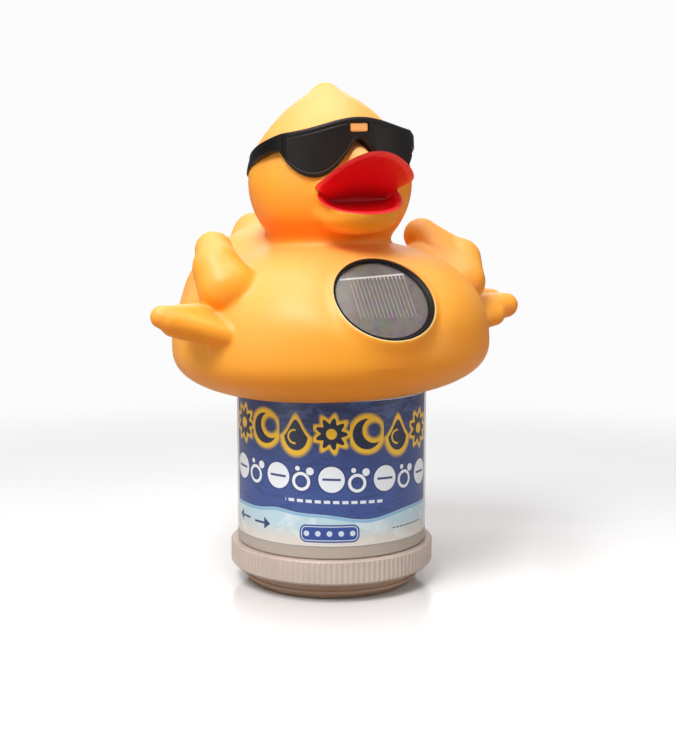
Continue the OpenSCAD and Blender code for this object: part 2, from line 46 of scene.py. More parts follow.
# ---------------------------------------------------------------- main sizes, in mm and degrees
VIEW_HEADING = 20           # camera heading, also the axis the parts lean about
BODY_LEAN, BODY_TURN = 1.6, -15
BODY_Z = 122                # widest level of the body
BODY_PIVOT_Z = 125.0
HEAD_LEAN, HEAD_Z = -2.5, 201
SKIN = 2.6                  # vinyl thickness
BROW_Z = 225.4              # raised bar between the lenses
LIP_GROW = 1.3              # outer edge of the lip beyond its inner edge
THROAT_Z = 191.8
BILL_BACK_Y, BILL_BACK_Z = -33, 195

# solar module: its centre, and its own upward and outward axes
MOD_C = np.array([1.7, -66.4, 148.0])
TILT = math.radians(47)
MOD_Y = np.array([0, math.cos(TILT), math.sin(TILT)])
MOD_Z = np.array([0, -math.sin(TILT), math.cos(TILT)])
MOD_D = float(MOD_C @ MOD_Z)
MOD_HOLE_R = 24.25
BOSS_R, BOSS_DEPTH = 31, 12

# sampling grid for the vinyl surfaces
STEP = 1.25
GRID_LO = np.array([-110.0, -84.0, 90.0])
GRID_HI = np.array([112.0, 98.0, 254.0])
GRID_AXES = [np.arange(GRID_LO[i], GRID_HI[i] + STEP, STEP) for i in range(3)]
GRID_SHAPE = [len(axis) for axis in GRID_AXES]


# ---------------------------------------------------------------- distance fields
# Each returns the signed distance at pos, a list of x, y and z arrays.
def soft_min(first, second, blend):
    share = np.clip(0.5 + 0.5 * (second - first) / blend, 0, 1)
    return second + (first - second) * share - blend * share * (1 - share)


def soft_max(first, second, blend):
    return -soft_min(-first, -second, blend)


def join(parts, blend):
    whole = parts[0]
    for part in parts[1:]:
        whole = soft_min(whole, part, blend)
    return whole


def offset(pos, origin):
    return [pos[i] - origin[i] for i in range(3)]


def dot(a, b):
    return a[0] * b[0] + a[1] * b[1] + a[2] * b[2]


def ellipsoid(pos, centre, radii):
    x, y, z = [(pos[i] - centre[i]) / radii[i] for i in range(3)]
    size = np.sqrt(x * x + y * y + z * z) + 1e-6
    slope = np.sqrt((x / radii[0]) ** 2 + (y / radii[1]) ** 2 + (z / radii[2]) ** 2) + 1e-9
    return size * (size - 1) / slope


def superellipsoid(pos, centre, radii, power):
    """round in plan, squarer in side view as power rises above 2"""
    x, y, z = [(pos[i] - centre[i]) / radii[i] for i in range(3)]
    plan, height = np.sqrt(x * x + y * y) + 1e-6, np.abs(z) + 1e-6
    size = (plan ** power + height ** power) ** (1 / power)
    plan_slope = np.sqrt((x / radii[0]) ** 2 + (y / radii[1]) ** 2) / plan
    slope = np.sqrt(((plan / size) ** (power - 1) * plan_slope) ** 2
                    + ((height / size) ** (power - 1) / radii[2]) ** 2) + 1e-9
    return (size - 1) / slope


def capsule(pos, start, end, start_r, end_r):
    axis = np.array(end, float) - np.array(start, float)
    away = offset(pos, start)
    along = np.clip(dot(away, axis) / float(axis @ axis), 0, 1)
    return np.sqrt((away[0] - along * axis[0]) ** 2 + (away[1] - along * axis[1]) ** 2
                   + (away[2] - along * axis[2]) ** 2) - (start_r + (end_r - start_r) * along)


def round_cone(pos, start, end, start_r, end_r):
    """two balls and the cone tangent to both"""
    start, end = np.array(start, float), np.array(end, float)
    axis = end - start
    length2 = float(axis @ axis)
    narrowing = start_r - end_r
    side2 = length2 - narrowing * narrowing
    away = offset(pos, start)
    y = dot(away, axis)
    z = y - length2
    x2 = sum((away[i] * length2 - axis[i] * y) ** 2 for i in range(3))
    y2, z2 = y * y * length2, z * z * length2
    limit = np.sign(narrowing) * narrowing * narrowing * x2
    side = (np.sqrt(x2 * side2 / length2) + y * narrowing) / length2 - start_r
    return np.where(np.sign(z) * side2 * z2 > limit, np.sqrt(x2 + z2) / length2 - end_r,
                    np.where(np.sign(y) * side2 * y2 < limit,
                             np.sqrt(x2 + y2) / length2 - start_r, side))


def edge_gap2(away, edge):
    """squared distance to an edge, from the offset to its start"""
    along = np.clip(dot(away, edge) / float(edge @ edge), 0, 1)
    return ((edge[0] * along - away[0]) ** 2 + (edge[1] * along - away[1]) ** 2
            + (edge[2] * along - away[2]) ** 2)


def plate(pos, first, second, third, radius):
    """rounded triangular plate"""
    corners = [np.array(corner, float) for corner in (first, second, third)]
    edges = [corners[(i + 1) % 3] - corners[i] for i in range(3)]
    normal = np.cross(edges[0], edges[2])
    away = [offset(pos, corner) for corner in corners]
    sides = sum(np.sign(dot(away[i], np.cross(edges[i], normal))) for i in range(3))
    gaps = [edge_gap2(away[i], edges[i]) for i in range(3)]
    nearest = np.minimum(np.minimum(gaps[0], gaps[1]), gaps[2])
    flat = dot(away[0], normal) ** 2 / float(normal @ normal)
    return np.sqrt(np.where(sides < 2, nearest, flat)) - radius


COS_VIEW = math.cos(math.radians(VIEW_HEADING))
SIN_VIEW = math.sin(math.radians(VIEW_HEADING))


def leaned(pos, angle=BODY_LEAN, pivot_z=BODY_PIVOT_Z):
    """leans sideways as the camera sees it"""
    angle = math.radians(angle)
    side = COS_VIEW * pos[0] - SIN_VIEW * pos[1]
    depth = SIN_VIEW * pos[0] + COS_VIEW * pos[1]
    z = pos[2] - pivot_z
    side, z = (math.cos(angle) * side + math.sin(angle) * z,
               -math.sin(angle) * side + math.cos(angle) * z)
    return [COS_VIEW * side + SIN_VIEW * depth, -SIN_VIEW * side + COS_VIEW * depth, z + pivot_z]


def turned(pos, angle=BODY_TURN):
    """turns about the vertical axis"""
    angle = math.radians(angle)
    return [math.cos(angle) * pos[0] - math.sin(angle) * pos[1],
            math.sin(angle) * pos[0] + math.cos(angle) * pos[1], pos[2]]


def module_local(pos):
    x, y, z = offset(pos, MOD_C)
    return [x, y * MOD_Y[1] + z * MOD_Y[2], y * MOD_Z[1] + z * MOD_Z[2]]


# ---------------------------------------------------------------- parts of the duck
def head(pos):
    skull = ellipsoid(pos, (-0.3, 1, HEAD_Z), (40.8, 40.3, 39))
    crest = round_cone(pos, (-0.5, 3, 221.6), (0, 8.6, 242.6), 23.6, 8.1)
    return soft_min(skull, crest, 9)


def body(pos):
    lean = leaned(pos)
    rear = turned(lean)
    hull = [lean[0] + 0.4, lean[1], lean[2]]
    centre = (0, 0, BODY_Z)
    shape = np.where(hull[2] > BODY_Z, superellipsoid(hull, centre, (79.8, 79, 51), 2.3),
                     superellipsoid(hull, centre, (79.8, 79, 28), 2.5))
    shape = soft_min(shape, ellipsoid(rear, (0, 43, 147), (53, 41, 33.5)), 14)
    shape = soft_min(shape, capsule(rear, (2, 50, 156), (0, 70, 176), 22, 11), 16)
    # flat chest facet in the plane of the solar module
    return soft_max(shape, dot(pos, MOD_Z) - MOD_D, 6)


# Wing tables hold (point, radius); both wings are drawn on the +X side.
FAR_LOBE = [((60, 9, 175), 8.5), ((75.2, -6, 163), 9.5), ((68.6, -17, 152), 10.5)]
FAR_BUMP = [((52, 2, 160), 11), ((67, -16, 151), 11)]
FAR_FEATHERS = [  # root, tip
    (((60, -17, 130), 8.5), ((90, -19, 133.5), 5)),
    (((60, -12, 133), 10), ((102, -14, 138.5), 6.3)),
    (((58, -4, 136), 9.5), ((99, -5, 141), 5.5)),
    (((56, 5, 138), 9), ((94, 2, 143), 5)),
]
NEAR_LOBE = [((67.2, 8.3, 167), 6.8), ((73.4, -4.6, 159.6), 8.2), ((72.0, -10.6, 150.6), 11.3)]
NEAR_BUMP = [((58, -6, 149), 9), ((66.2, -14.0, 150.2), 8.2)]


def wing_lobe(pos, lobe, bump, blend):
    """three-cornered upper part of a wing, with a bump joining it to the body"""
    (top, top_r), (middle, middle_r), (low, low_r) = lobe
    (bump_in, bump_in_r), (bump_out, bump_out_r) = bump
    leaf = join([plate(pos, top, middle, low, min(top_r, middle_r, low_r)),
                 capsule(pos, top, middle, top_r, middle_r),
                 capsule(pos, middle, low, middle_r, low_r),
                 capsule(pos, top, low, top_r, low_r)], blend)
    swelling = soft_min(capsule(pos, bump_in, bump_out, bump_in_r, bump_out_r),
                        plate(pos, middle, low, bump_out, bump_out_r), 2.5 + blend * 0.4)
    return soft_min(leaf, swelling, blend)


def flat_bottom(pos, shape, level, slope):
    """cuts the underside at level, rising outward by slope from x = 66"""
    return soft_max(shape, (level + (pos[0] - 66) * slope - pos[2]) * 0.98, 0.6)


def far_feathers(pos):
    feathers = [capsule(pos, root, tip, root_r, tip_r)
                for (root, root_r), (tip, tip_r) in FAR_FEATHERS]
    pairs = [soft_min(feathers[i], feathers[i + 1], 5) for i in range(len(feathers) - 1)]
    return flat_bottom(pos, join(pairs, 1.4), 123.4, 0.18)


def near_feathers(pos):
    """board whose top slants to a thick front edge, with one feather behind it"""
    tip, root = (106.3, -13.9, 138.1), (61.9, -7.6, 136.7)
    front_root, front_tip = (78.4, -22.9, 129.8), (103.6, -16.2, 136.3)
    under_root, under_tip = (80.5, -17.7, 125.2), (102.0, -15.4, 133.4)
    board = join([capsule(pos, root, tip, 5.0, 5.2),
                  capsule(pos, front_root, front_tip, 3.7, 4.9),
                  capsule(pos, under_root, under_tip, 3.6, 4.4),
                  plate(pos, front_root, root, tip, 4.4),
                  plate(pos, front_root, front_tip, tip, 4.4),
                  plate(pos, front_root, under_root, front_tip, 3.7),
                  plate(pos, under_root, under_tip, front_tip, 3.7),
                  capsule(pos, (68.2, -12.9, 130.7), (94.4, -12.9, 135.8), 7.5, 5.0)], 1.4)
    board = soft_min(board, capsule(pos, (58.3, -1.6, 135), (93, -5, 138.3), 8.5, 4.6), 3)
    return flat_bottom(pos, board, 119.2, 0.27)


def wings(pos):
    """(shape, blend into the body) for each wing part; the near wing is on the -X side"""
    x, y, z = turned(leaned(pos, -BODY_LEAN))
    x = x - 3
    far, near = [x, y, z], [-x, y, z]
    return [(wing_lobe(far, FAR_LOBE, FAR_BUMP, 2.0), 3.0), (far_feathers(far), 4.5),
            (wing_lobe(near, NEAR_LOBE, NEAR_BUMP, 6.0), 2.5), (near_feathers(near), 2.2)]


def boss(pos):
    """tapered mount round the solar module"""
    x, y, z = module_local(pos)
    radius = np.sqrt(x ** 2 + y ** 2)
    # narrows by 6.1 over the 11.9 of its height
    side = (radius - (BOSS_R - (z + BOSS_DEPTH) / 11.9 * 6.1)) * 0.89
    return soft_max(soft_max(side, z + 0.1, 0.5), -BOSS_DEPTH - z, 1)


def chin(pos):
    return soft_min(ellipsoid(pos, (0, -36, 184.5), (18.5, 18, 8.5)),
                    ellipsoid(pos, (0, -45.2, 184.6), (14, 8.6, 4)), 5)


def float_surface(pos, bill):
    lower = soft_min(body(pos), boss(pos), 2.5)
    for part, blend in wings(pos):
        lower = soft_min(lower, part, blend)
    upper = soft_min(head(pos), chin(pos), 5)
    bridge = capsule(pos, (0, -36.2, 213.7), (0, -45, 208.3), 4.2, 6.2)
    upper = soft_min(soft_min(upper, bridge, 4), bill, 4.5)
    radius = np.sqrt((pos[0] + 0.5) ** 2 + pos[1] ** 2)
    neck = np.maximum(radius - 28.6, np.abs(pos[2] - 168) - 18)
    return soft_min(soft_min(lower, neck, 4), upper, 4)


# ---------------------------------------------------------------- outline of the bill
# A station runs 0 to 1 round the mouth: the upper edge from -X to +X, then the lower edge back.
def rim(station, grow=0.0):
    """inner edge of the lip, widened by grow"""
    upper = station < 0.5
    degrees = np.where(upper, -125 + 500 * station, 125 - 500 * (station - 0.5))
    angle, corner = np.radians(degrees), np.abs(degrees) / 125
    arch = ((1 + np.cos(angle)) / 2) ** 3.5
    x = np.where(upper, (22.5 + grow) * np.sin(angle),
                 (16 + 6.8 * corner ** 3 + grow) * np.sin(angle))
    y = np.where(upper, -45 - (16.5 + grow) * np.cos(angle),
                 -42.2 - (12.3 + grow) * np.cos(angle))
    z = np.where(upper, 198.2 + 13.8 * arch - 2 * corner ** 4 + grow * (0.35 + 0.65 * arch),
                 186.3 + 10 * corner ** 2.2 - grow * (1 - corner))
    return np.stack([x, y, z], -1)


def station_angle(station):
    return np.radians(station * 360 - 90)


def oval(station, half_width, y, z, rise, fall):
    """upright oval with its own half height above and below z"""
    angle = station_angle(station)
    return np.stack([half_width * np.sin(angle), np.full_like(station, y),
                     z + np.where(station < 0.5, rise, fall) * np.cos(angle)], -1)


def throat(station):
    return oval(station, 13.5, -37.0, THROAT_Z, 1.7, 1.2)


def back(station, grow):
    """rear end of the bill, inside the head"""
    return oval(station, 19.5 + grow, BILL_BACK_Y + grow * 0.5, BILL_BACK_Z,
                11.5 + grow, 10.5 + grow)


def bulge(station, amount):
    out = np.zeros((len(station), 3))
    fullness = np.abs(np.cos(station_angle(station))) ** 0.7
    out[:, 2] = np.where(station < 0.5, 1, -1) * amount * fullness
    return out


def inner(station, depth):
    """wall of the mouth, from the rim at depth 0 to the throat at 1"""
    start, end = rim(station), throat(station)
    swell = np.sin(np.pi * depth) * np.where(station < 0.5, 1.0, 1.2)
    return start + (end - start) * depth + bulge(station, swell)


def outer(station, depth, grow):
    start, end = rim(station, LIP_GROW + grow), back(station, grow)
    swell = np.sin(np.pi * depth) * np.where(station < 0.5, -0.5, -0.4)
    return start + (end - start) * depth + bulge(station, swell)


def head_tilted(points):
    return np.stack(leaned([points[..., i] for i in range(3)], HEAD_LEAN, HEAD_Z), -1)


def smooth_ring(points):
    for _ in range(2):
        points = 0.25 * np.roll(points, 1, 0) + 0.5 * points + 0.25 * np.roll(points, -1, 0)
    return points


def ring_stations(count):
    return (np.arange(count) + 0.5) / count


def bill_rows(grow, stations, steps):
    return [head_tilted(smooth_ring(outer(stations, j / steps, grow))) for j in range(steps + 1)]


# ---------------------------------------------------------------- meshing
def loft(rows, first, last):
    """quads between closed rows, with a fan at each end round the given centre"""
    count, row_count = len(rows[0]), len(rows)
    faces = []
    for j in range(row_count - 1):
        for i in range(count):
            k = (i + 1) % count
            faces.append((j * count + i, j * count + k, (j + 1) * count + k, (j + 1) * count + i))
    centre = row_count * count
    for i in range(count):
        faces.append(((i + 1) % count, i, centre))
    base = (row_count - 1) * count
    for i in range(count):
        faces.append((base + i, base + (i + 1) % count, centre + 1))
    return np.concatenate(list(rows) + [np.array([first, last], float)]), faces


def triangles(faces):
    return [(face[0], face[i], face[i + 1]) for face in faces for i in range(1, len(face) - 1)]


def outward(points, faces):
    """faces turned so the solid has positive volume"""
    total = 0.0
    for i, j, k in triangles(faces):
        total += points[i] @ np.cross(points[j], points[k])
    return [tuple(reversed(face)) for face in faces] if total < 0 else faces


def add_object(name, mesh):
    ob = bpy.data.objects.new(name, mesh)
    scene.collection.objects.link(ob)
    return ob


def new_mesh(name, points, faces):
    mesh = bpy.data.meshes.new(name)
    mesh.from_pydata((points * MM).tolist(), [], outward(points, faces))
    mesh.update()
    return add_object(name, mesh)


def sample(field):
    """field over the grid, in slabs; it is given the positions and the slab's slice"""
    out = np.empty(GRID_SHAPE, np.float32)
    for start in range(0, GRID_SHAPE[0], 24):
        slab = slice(start, start + 24)
        pos = np.meshgrid(GRID_AXES[0][slab], GRID_AXES[1], GRID_AXES[2], indexing="ij")
        out[slab] = field([axis.astype(np.float32) for axis in pos], slab)
    return out


def level_set(points, faces):
    """signed distance to a closed mesh on the grid"""
    grid = vdb.FloatGrid.createLevelSetFromPolygons(
        ((points - GRID_LO) / STEP).astype(np.float32),
        triangles=np.array(triangles(faces), np.uint32),
        transform=vdb.createLinearTransform(1.0), halfWidth=8.0)
    out = np.empty(GRID_SHAPE, np.float32)
    grid.copyToArray(out, ijk=(0, 0, 0))
    return out * STEP


def relax(points, quads):
    """smooths without shrinking: each inward pass is followed by an outward one"""
    edges = np.concatenate([quads[:, [i, (i + 1) % 4]] for i in range(4)])
    edges = np.concatenate([edges, edges[:, ::-1]])
    degree = np.bincount(edges[:, 0], minlength=len(points))[:, None]
    for _ in range(3):
        for weight in (0.5, -0.52):
            total = np.stack([np.bincount(edges[:, 0], points[edges[:, 1], i], len(points))
                              for i in range(3)], -1)
            points = points + weight * (total / degree - points)
    return points


def quad_object(name, points, quads):
    tri = np.concatenate([quads[:, [0, 1, 2]], quads[:, [0, 2, 3]]])
    corners = [points[tri[:, i]] for i in range(3)]
    if (corners[0] * np.cross(corners[1], corners[2])).sum() < 0:
        quads = quads[:, ::-1]
    mesh = bpy.data.meshes.new(name)
    mesh.vertices.add(len(points))
    mesh.vertices.foreach_set("co", (points * MM).astype(np.float32).ravel())
    mesh.loops.add(quads.size)
    mesh.loops.foreach_set("vertex_index", quads.astype(np.int32).ravel())
    mesh.polygons.add(len(quads))
    mesh.polygons.foreach_set("loop_start", np.arange(0, quads.size, 4, dtype=np.int32))
    mesh.update(calc_edges=True)
    mesh.validate()
    return add_object(name, mesh)


def field_object(name, values):
    """mesh of the zero surface of sampled distances"""
    grid = vdb.FloatGrid(4 * STEP)
    grid.copyFromArray(np.clip(values, -4 * STEP, 4 * STEP).astype(np.float32))
    points, quads = grid.convertToQuads(0.0)
    points, quads = points.astype(float) * STEP + GRID_LO, quads.astype(int)
    return quad_object(name, relax(points, quads), quads)


def revolve(name, profile, in_module=False):
    """solid of revolution from (radius, z) points that start and end on the axis"""
    count = 192
    angle = np.arange(count) * 2 * math.pi / count
    rows = [np.stack([radius * np.cos(angle), radius * np.sin(angle),
                      np.full(count, float(z))], -1) for radius, z in profile[1:-1]]
    points, faces = loft(rows, (0, 0, profile[0][1]), (0, 0, profile[-1][1]))
    if in_module:
        points = points @ np.stack([[1, 0, 0], MOD_Y, MOD_Z], -1).T + MOD_C
    return new_mesh(name, points, faces)


def brow_bar(name, half_width, half_height, corner, front_y, back_y, bevel):
    """rounded bar along y at the brow, with a softened front"""
    outline = []
    for side_x, side_z, start in ((1, 1, 0), (-1, 1, 90), (-1, -1, 180), (1, -1, 270)):
        for k in range(7):
            angle = math.radians(start + 15 * k)
            outline.append((side_x * (half_width - corner) + corner * math.cos(angle),
                            side_z * (half_height - corner) + corner * math.sin(angle)))
    outline = np.array(outline)

    def row(scale, y):
        return head_tilted(np.stack([outline[:, 0] * scale[0], np.full(len(outline), y),
                                     outline[:, 1] * scale[1] + BROW_Z], -1))

    rows = []
    for k in range(5):
        angle = math.radians(22.5 * k)
        inset = bevel * (1 - math.sin(angle))
        scale = ((half_width - inset) / half_width, (half_height - inset) / half_height)
        rows.append(row(scale, front_y + bevel * (1 - math.cos(angle))))
    rows.append(row((1, 1), back_y))
    return new_mesh(name, *loft(rows, rows[0].mean(0), rows[-1].mean(0)))


def cut(ob, cutters, add=()):
    """joins the solids in add, then cuts the cutters away"""
    tools = [(tool, "UNION") for tool in add] + [(tool, "DIFFERENCE") for tool in cutters]
    for tool, operation in tools:
        modifier = ob.modifiers.new("cut", "BOOLEAN")
        modifier.operation = operation
        modifier.solver = "MANIFOLD"
        modifier.object = tool
    deps = bpy.context.evaluated_depsgraph_get()
    mesh = bpy.data.meshes.new_from_object(ob.evaluated_get(deps))
    ob.modifiers.clear()
    old = ob.data
    ob.data = mesh
    bpy.data.meshes.remove(old)
    for tool, _ in tools:
        bpy.data.objects.remove(tool)


def small_islands(bm, limit=80):
    """faces of loose pieces with fewer faces than limit"""
    seen, found = set(), []
    bm.faces.ensure_lookup_table()
    for first in bm.faces:
        if first.index in seen:
            continue
        island, todo = [], [first]
        seen.add(first.index)
        while todo:
            face = todo.pop()
            island.append(face)
            for edge in face.edges:
                for other in edge.link_faces:
                    if other.index not in seen:
                        seen.add(other.index)
                        todo.append(other)
        if len(island) < limit:
            found += island
    return found


def tidy(ob):
    """welds the slivers a cut leaves and drops loose crumbs"""
    weld = 4e-6  # metres
    bm = bmesh.new()
    bm.from_mesh(ob.data)
    for _ in range(2):
        bmesh.ops.remove_doubles(bm, verts=bm.verts[:], dist=weld)
        bmesh.ops.dissolve_degenerate(bm, edges=bm.edges[:], dist=weld)
    crumbs = small_islands(bm)
    if crumbs:
        bmesh.ops.delete(bm, geom=crumbs, context="FACES")
    loose = [vert for vert in bm.verts if not vert.link_faces]
    if loose:
        bmesh.ops.delete(bm, geom=loose, context="VERTS")
    gaps = [edge for edge in bm.edges if len(edge.link_faces) == 1]
    if gaps:
        bmesh.ops.holes_fill(bm, edges=gaps, sides=12)
    # a corner with only two edges makes two equal triangles when it is cut up
    for _ in range(3):
        two_edged = [vert for vert in bm.verts if len(vert.link_edges) == 2]
        if two_edged:
            bmesh.ops.dissolve_verts(bm, verts=two_edged)
    bmesh.ops.triangulate(bm, faces=[face for face in bm.faces if len(face.verts) > 4])
    bm.to_mesh(ob.data)
    bm.free()


def shade(ob, sharp_angle):
    ob.data.shade_smooth()
    ob.data.set_sharp_from_angle(angle=math.radians(sharp_angle))


def paint(ob, *materials):
    ob.data.materials.clear()
    for material in materials:
        ob.data.materials.append(material)


# ---------------------------------------------------------------- shader graphs
class Value:
    """an output socket, with arithmetic that adds nodes"""
    def __init__(self, graph, socket):
        self.graph, self.socket = graph, socket

    def output(self, key):
        """another output of the same node"""
        return Value(self.graph, self.socket.node.outputs[key])

    def math(self, operation, other=None, clamp=False):
        return self.graph.math(operation, self, other, clamp)

    def __add__(self, other): return self.math("ADD", other)
    def __sub__(self, other): return self.math("SUBTRACT", other)
    def __rsub__(self, other): return self.graph.math("SUBTRACT", other, self)
    def __mul__(self, other): return self.math("MULTIPLY", other)
    def __truediv__(self, other): return self.math("DIVIDE", other)
    def __neg__(self): return self * -1.0
    def __abs__(self): return self.math("ABSOLUTE")

    def ramp(self, start, end):
        """eased from 0 at start to 1 at end, whichever is larger"""
        rising = start < end
        return self.graph.make("ShaderNodeMapRange", {
            "Value": self, "From Min": min(start, end), "From Max": max(start, end),
            "To Min": 0.0 if rising else 1.0, "To Max": 1.0 if rising else 0.0,
        }, interpolation_type="SMOOTHSTEP").output("Result")

    def inside(self, soft=0.12):
        """1 where a distance is negative"""
        return self.ramp(soft, -soft)


def smaller(a, b): return a.math("MINIMUM", b)
def larger(a, b): return a.math("MAXIMUM", b)
def length(a, b): return (a * a + b * b).math("SQRT")


def repeat(value, pitch):
    """offset from the nearest multiple of pitch, and that multiple's index"""
    index = (value / pitch + 0.5).math("FLOOR")
    return value - index * pitch, index


def dashes(value, pitch, half_gap):
    """negative on the dashes of a line"""
    return abs(value / pitch - (value / pitch).math("FLOOR") - 0.5) * pitch - half_gap


class Graph:
    """node tree of a material or world"""
    def __init__(self, owner, output_kind):
        self.owner = owner
        owner.use_nodes = True
        self.tree = owner.node_tree
        self.tree.nodes.clear()
        self.final = self.tree.nodes.new(output_kind)

    def put(self, socket, value):
        if isinstance(value, Value):
            self.tree.links.new(value.socket, socket)
        elif value is not None:
            if hasattr(socket.default_value, "__len__"):
                value = tuple(value)
                if len(socket.default_value) == 4 and len(value) == 3:
                    value = value + (1.0,)
            socket.default_value = value

    def make(self, kind, inputs=None, **settings):
        """adds a node and returns its first output"""
        node = self.tree.nodes.new(kind)
        for key, value in settings.items():
            setattr(node, key, value)
        for key, value in (inputs or {}).items():
            self.put(node.inputs[key], value)
        return Value(self, node.outputs[0])

    def finish(self, shader):
        self.put(self.final.inputs[0], shader)
        return self.owner

    def math(self, operation, a, b=None, clamp=False):
        return self.make("ShaderNodeMath", {0: a, 1: b}, operation=operation, use_clamp=clamp)

    def split(self, vector):
        first = self.make("ShaderNodeSeparateXYZ", {0: vector})
        return [first.output(i) for i in range(3)]

    def mix_shader(self, factor, a, b):
        return self.make("ShaderNodeMixShader", {0: factor, 1: a, 2: b})


class Material(Graph):
    """surface material whose position is in object millimetres"""
    def __init__(self, name):
        super().__init__(bpy.data.materials.new(name), "ShaderNodeOutputMaterial")
        place = self.make("ShaderNodeTexCoord").output("Object")
        self.position = self.make("ShaderNodeVectorMath", {0: place, "Scale": 1000.0},
                                  operation="SCALE")

    def coords(self):
        return self.split(self.position)

    def mix(self, factor, a, b):
        return self.make("ShaderNodeMix", {0: factor, 6: a, 7: b}, data_type="RGBA").output(2)

    def combine(self, x, y, z):
        return self.make("ShaderNodeCombineXYZ", {0: x, 1: y, 2: z})

    def noise(self, scale, detail=3.0, rough=0.5, vector=None, distortion=0.0):
        """scale is in cycles per millimetre"""
        return self.make("ShaderNodeTexNoise", {
            "Vector": self.position if vector is None else vector, "Scale": scale,
            "Detail": detail, "Roughness": rough, "Distortion": distortion})

    def bump(self, height, depth, normal=None):
        """depth is in millimetres"""
        return self.make("ShaderNodeBump", {"Strength": 1.0, "Distance": depth * MM,
                                            "Height": height, "Normal": normal})

    def principled(self, **inputs):
        inputs = {key.replace("_", " "): value for key, value in inputs.items()}
        return self.finish(self.make("ShaderNodeBsdfPrincipled", inputs))


def rgb(*channels):
    """sRGB 0-255 to linear"""
    return tuple((c / 255 / 12.92) if c / 255 <= 0.04045 else ((c / 255 + 0.055) / 1.055) ** 2.4
                 for c in channels)


def along_module(y, z, axis):
    """distance along a module axis, from y and z offsets to its centre"""
    return y * float(axis[1]) + z * float(axis[2])


# ---------------------------------------------------------------- general materials
def plastic(name, colour, rough=0.4, vary=0.05, grain=0.02, grain_scale=1.2, spec=0.5, sss=0.0,
            foot=None):
    """foot is (colour, z where it ends, z where it is full): a band painted below a level, used
    for painted shade
    """
    mat = Material(name)
    cloud = mat.noise(0.06, detail=4.0)
    dark = tuple(c * (1 - vary * 2) for c in colour)
    light = tuple(min(1.0, c * (1 + vary)) for c in colour)
    shown = mat.mix(cloud.ramp(0.3, 0.7), dark, light)
    if foot is not None:
        band_shade_colour, band_shade_end, band_shade_full = foot
        z = mat.coords()[2]
        shown = mat.mix(z.ramp(band_shade_end, band_shade_full), shown, band_shade_colour)
    return mat.principled(
        Base_Color=shown, Roughness=cloud.ramp(0.0, 1.0) * 0.16 + (rough - 0.08),
        Normal=mat.bump(mat.noise(grain_scale, detail=2.0), depth=grain),
        Specular_IOR_Level=spec, Coat_Weight=0.0, Coat_Roughness=0.15, Subsurface_Weight=sss,
        Subsurface_Radius=(0.006, 0.005, 0.004))


def metal(name, colour, rough):
    """brushed by noise that is much finer across x"""
    mat = Material(name)
    x, y, z = mat.coords()
    brushing = mat.noise(1.0, vector=mat.combine(x * 5.0, y * 0.3, z * 0.3))
    return mat.principled(
        Base_Color=mat.mix(brushing, tuple(c * 0.8 for c in colour), colour), Metallic=1.0,
        Roughness=brushing * 0.2 + (rough - 0.1), Normal=mat.bump(brushing, depth=0.01))


def rubber(name, colour):
    mat = Material(name)
    cloud, grain = mat.noise(0.3, detail=4.0), mat.noise(3.0, detail=2.0)
    return mat.principled(
        Base_Color=mat.mix(cloud, tuple(c * 0.7 for c in colour), tuple(c * 1.4 for c in colour)),
        Roughness=cloud * 0.2 + 0.55, Normal=mat.bump(grain, depth=0.03),
        Specular_IOR_Level=0.35)


def clear_material(name, tint, gloss, rough=0.03):
    """clear sheet: mostly see-through with a surface sheen and faint scuffs"""
    mat = Material(name)
    see_through = mat.make("ShaderNodeBsdfTransparent", {0: tint})
    scuff = mat.noise(0.4, detail=5.0, rough=0.6)
    sheen = mat.make("ShaderNodeBsdfGlossy", {"Roughness": scuff * 0.12 + rough})
    fresnel = mat.make("ShaderNodeFresnel", {"IOR": 1.46})
    front = 1.0 - mat.make("ShaderNodeNewGeometry").output("Backfacing")
    share = (fresnel * front).math("MULTIPLY", gloss, clamp=True)
    return mat.finish(mat.mix_shader(share, see_through, sheen))


# ---------------------------------------------------------------- materials of the duck
# lit and shaded copies of the vinyl colour: painted shade, a mid tone and a painted highlight
VINYL_SHADED = (0.92, 0.29, 0.004)
VINYL_MID = (0.94, 0.375, 0.03)
VINYL_LIT = (0.95, 0.42, 0.10)


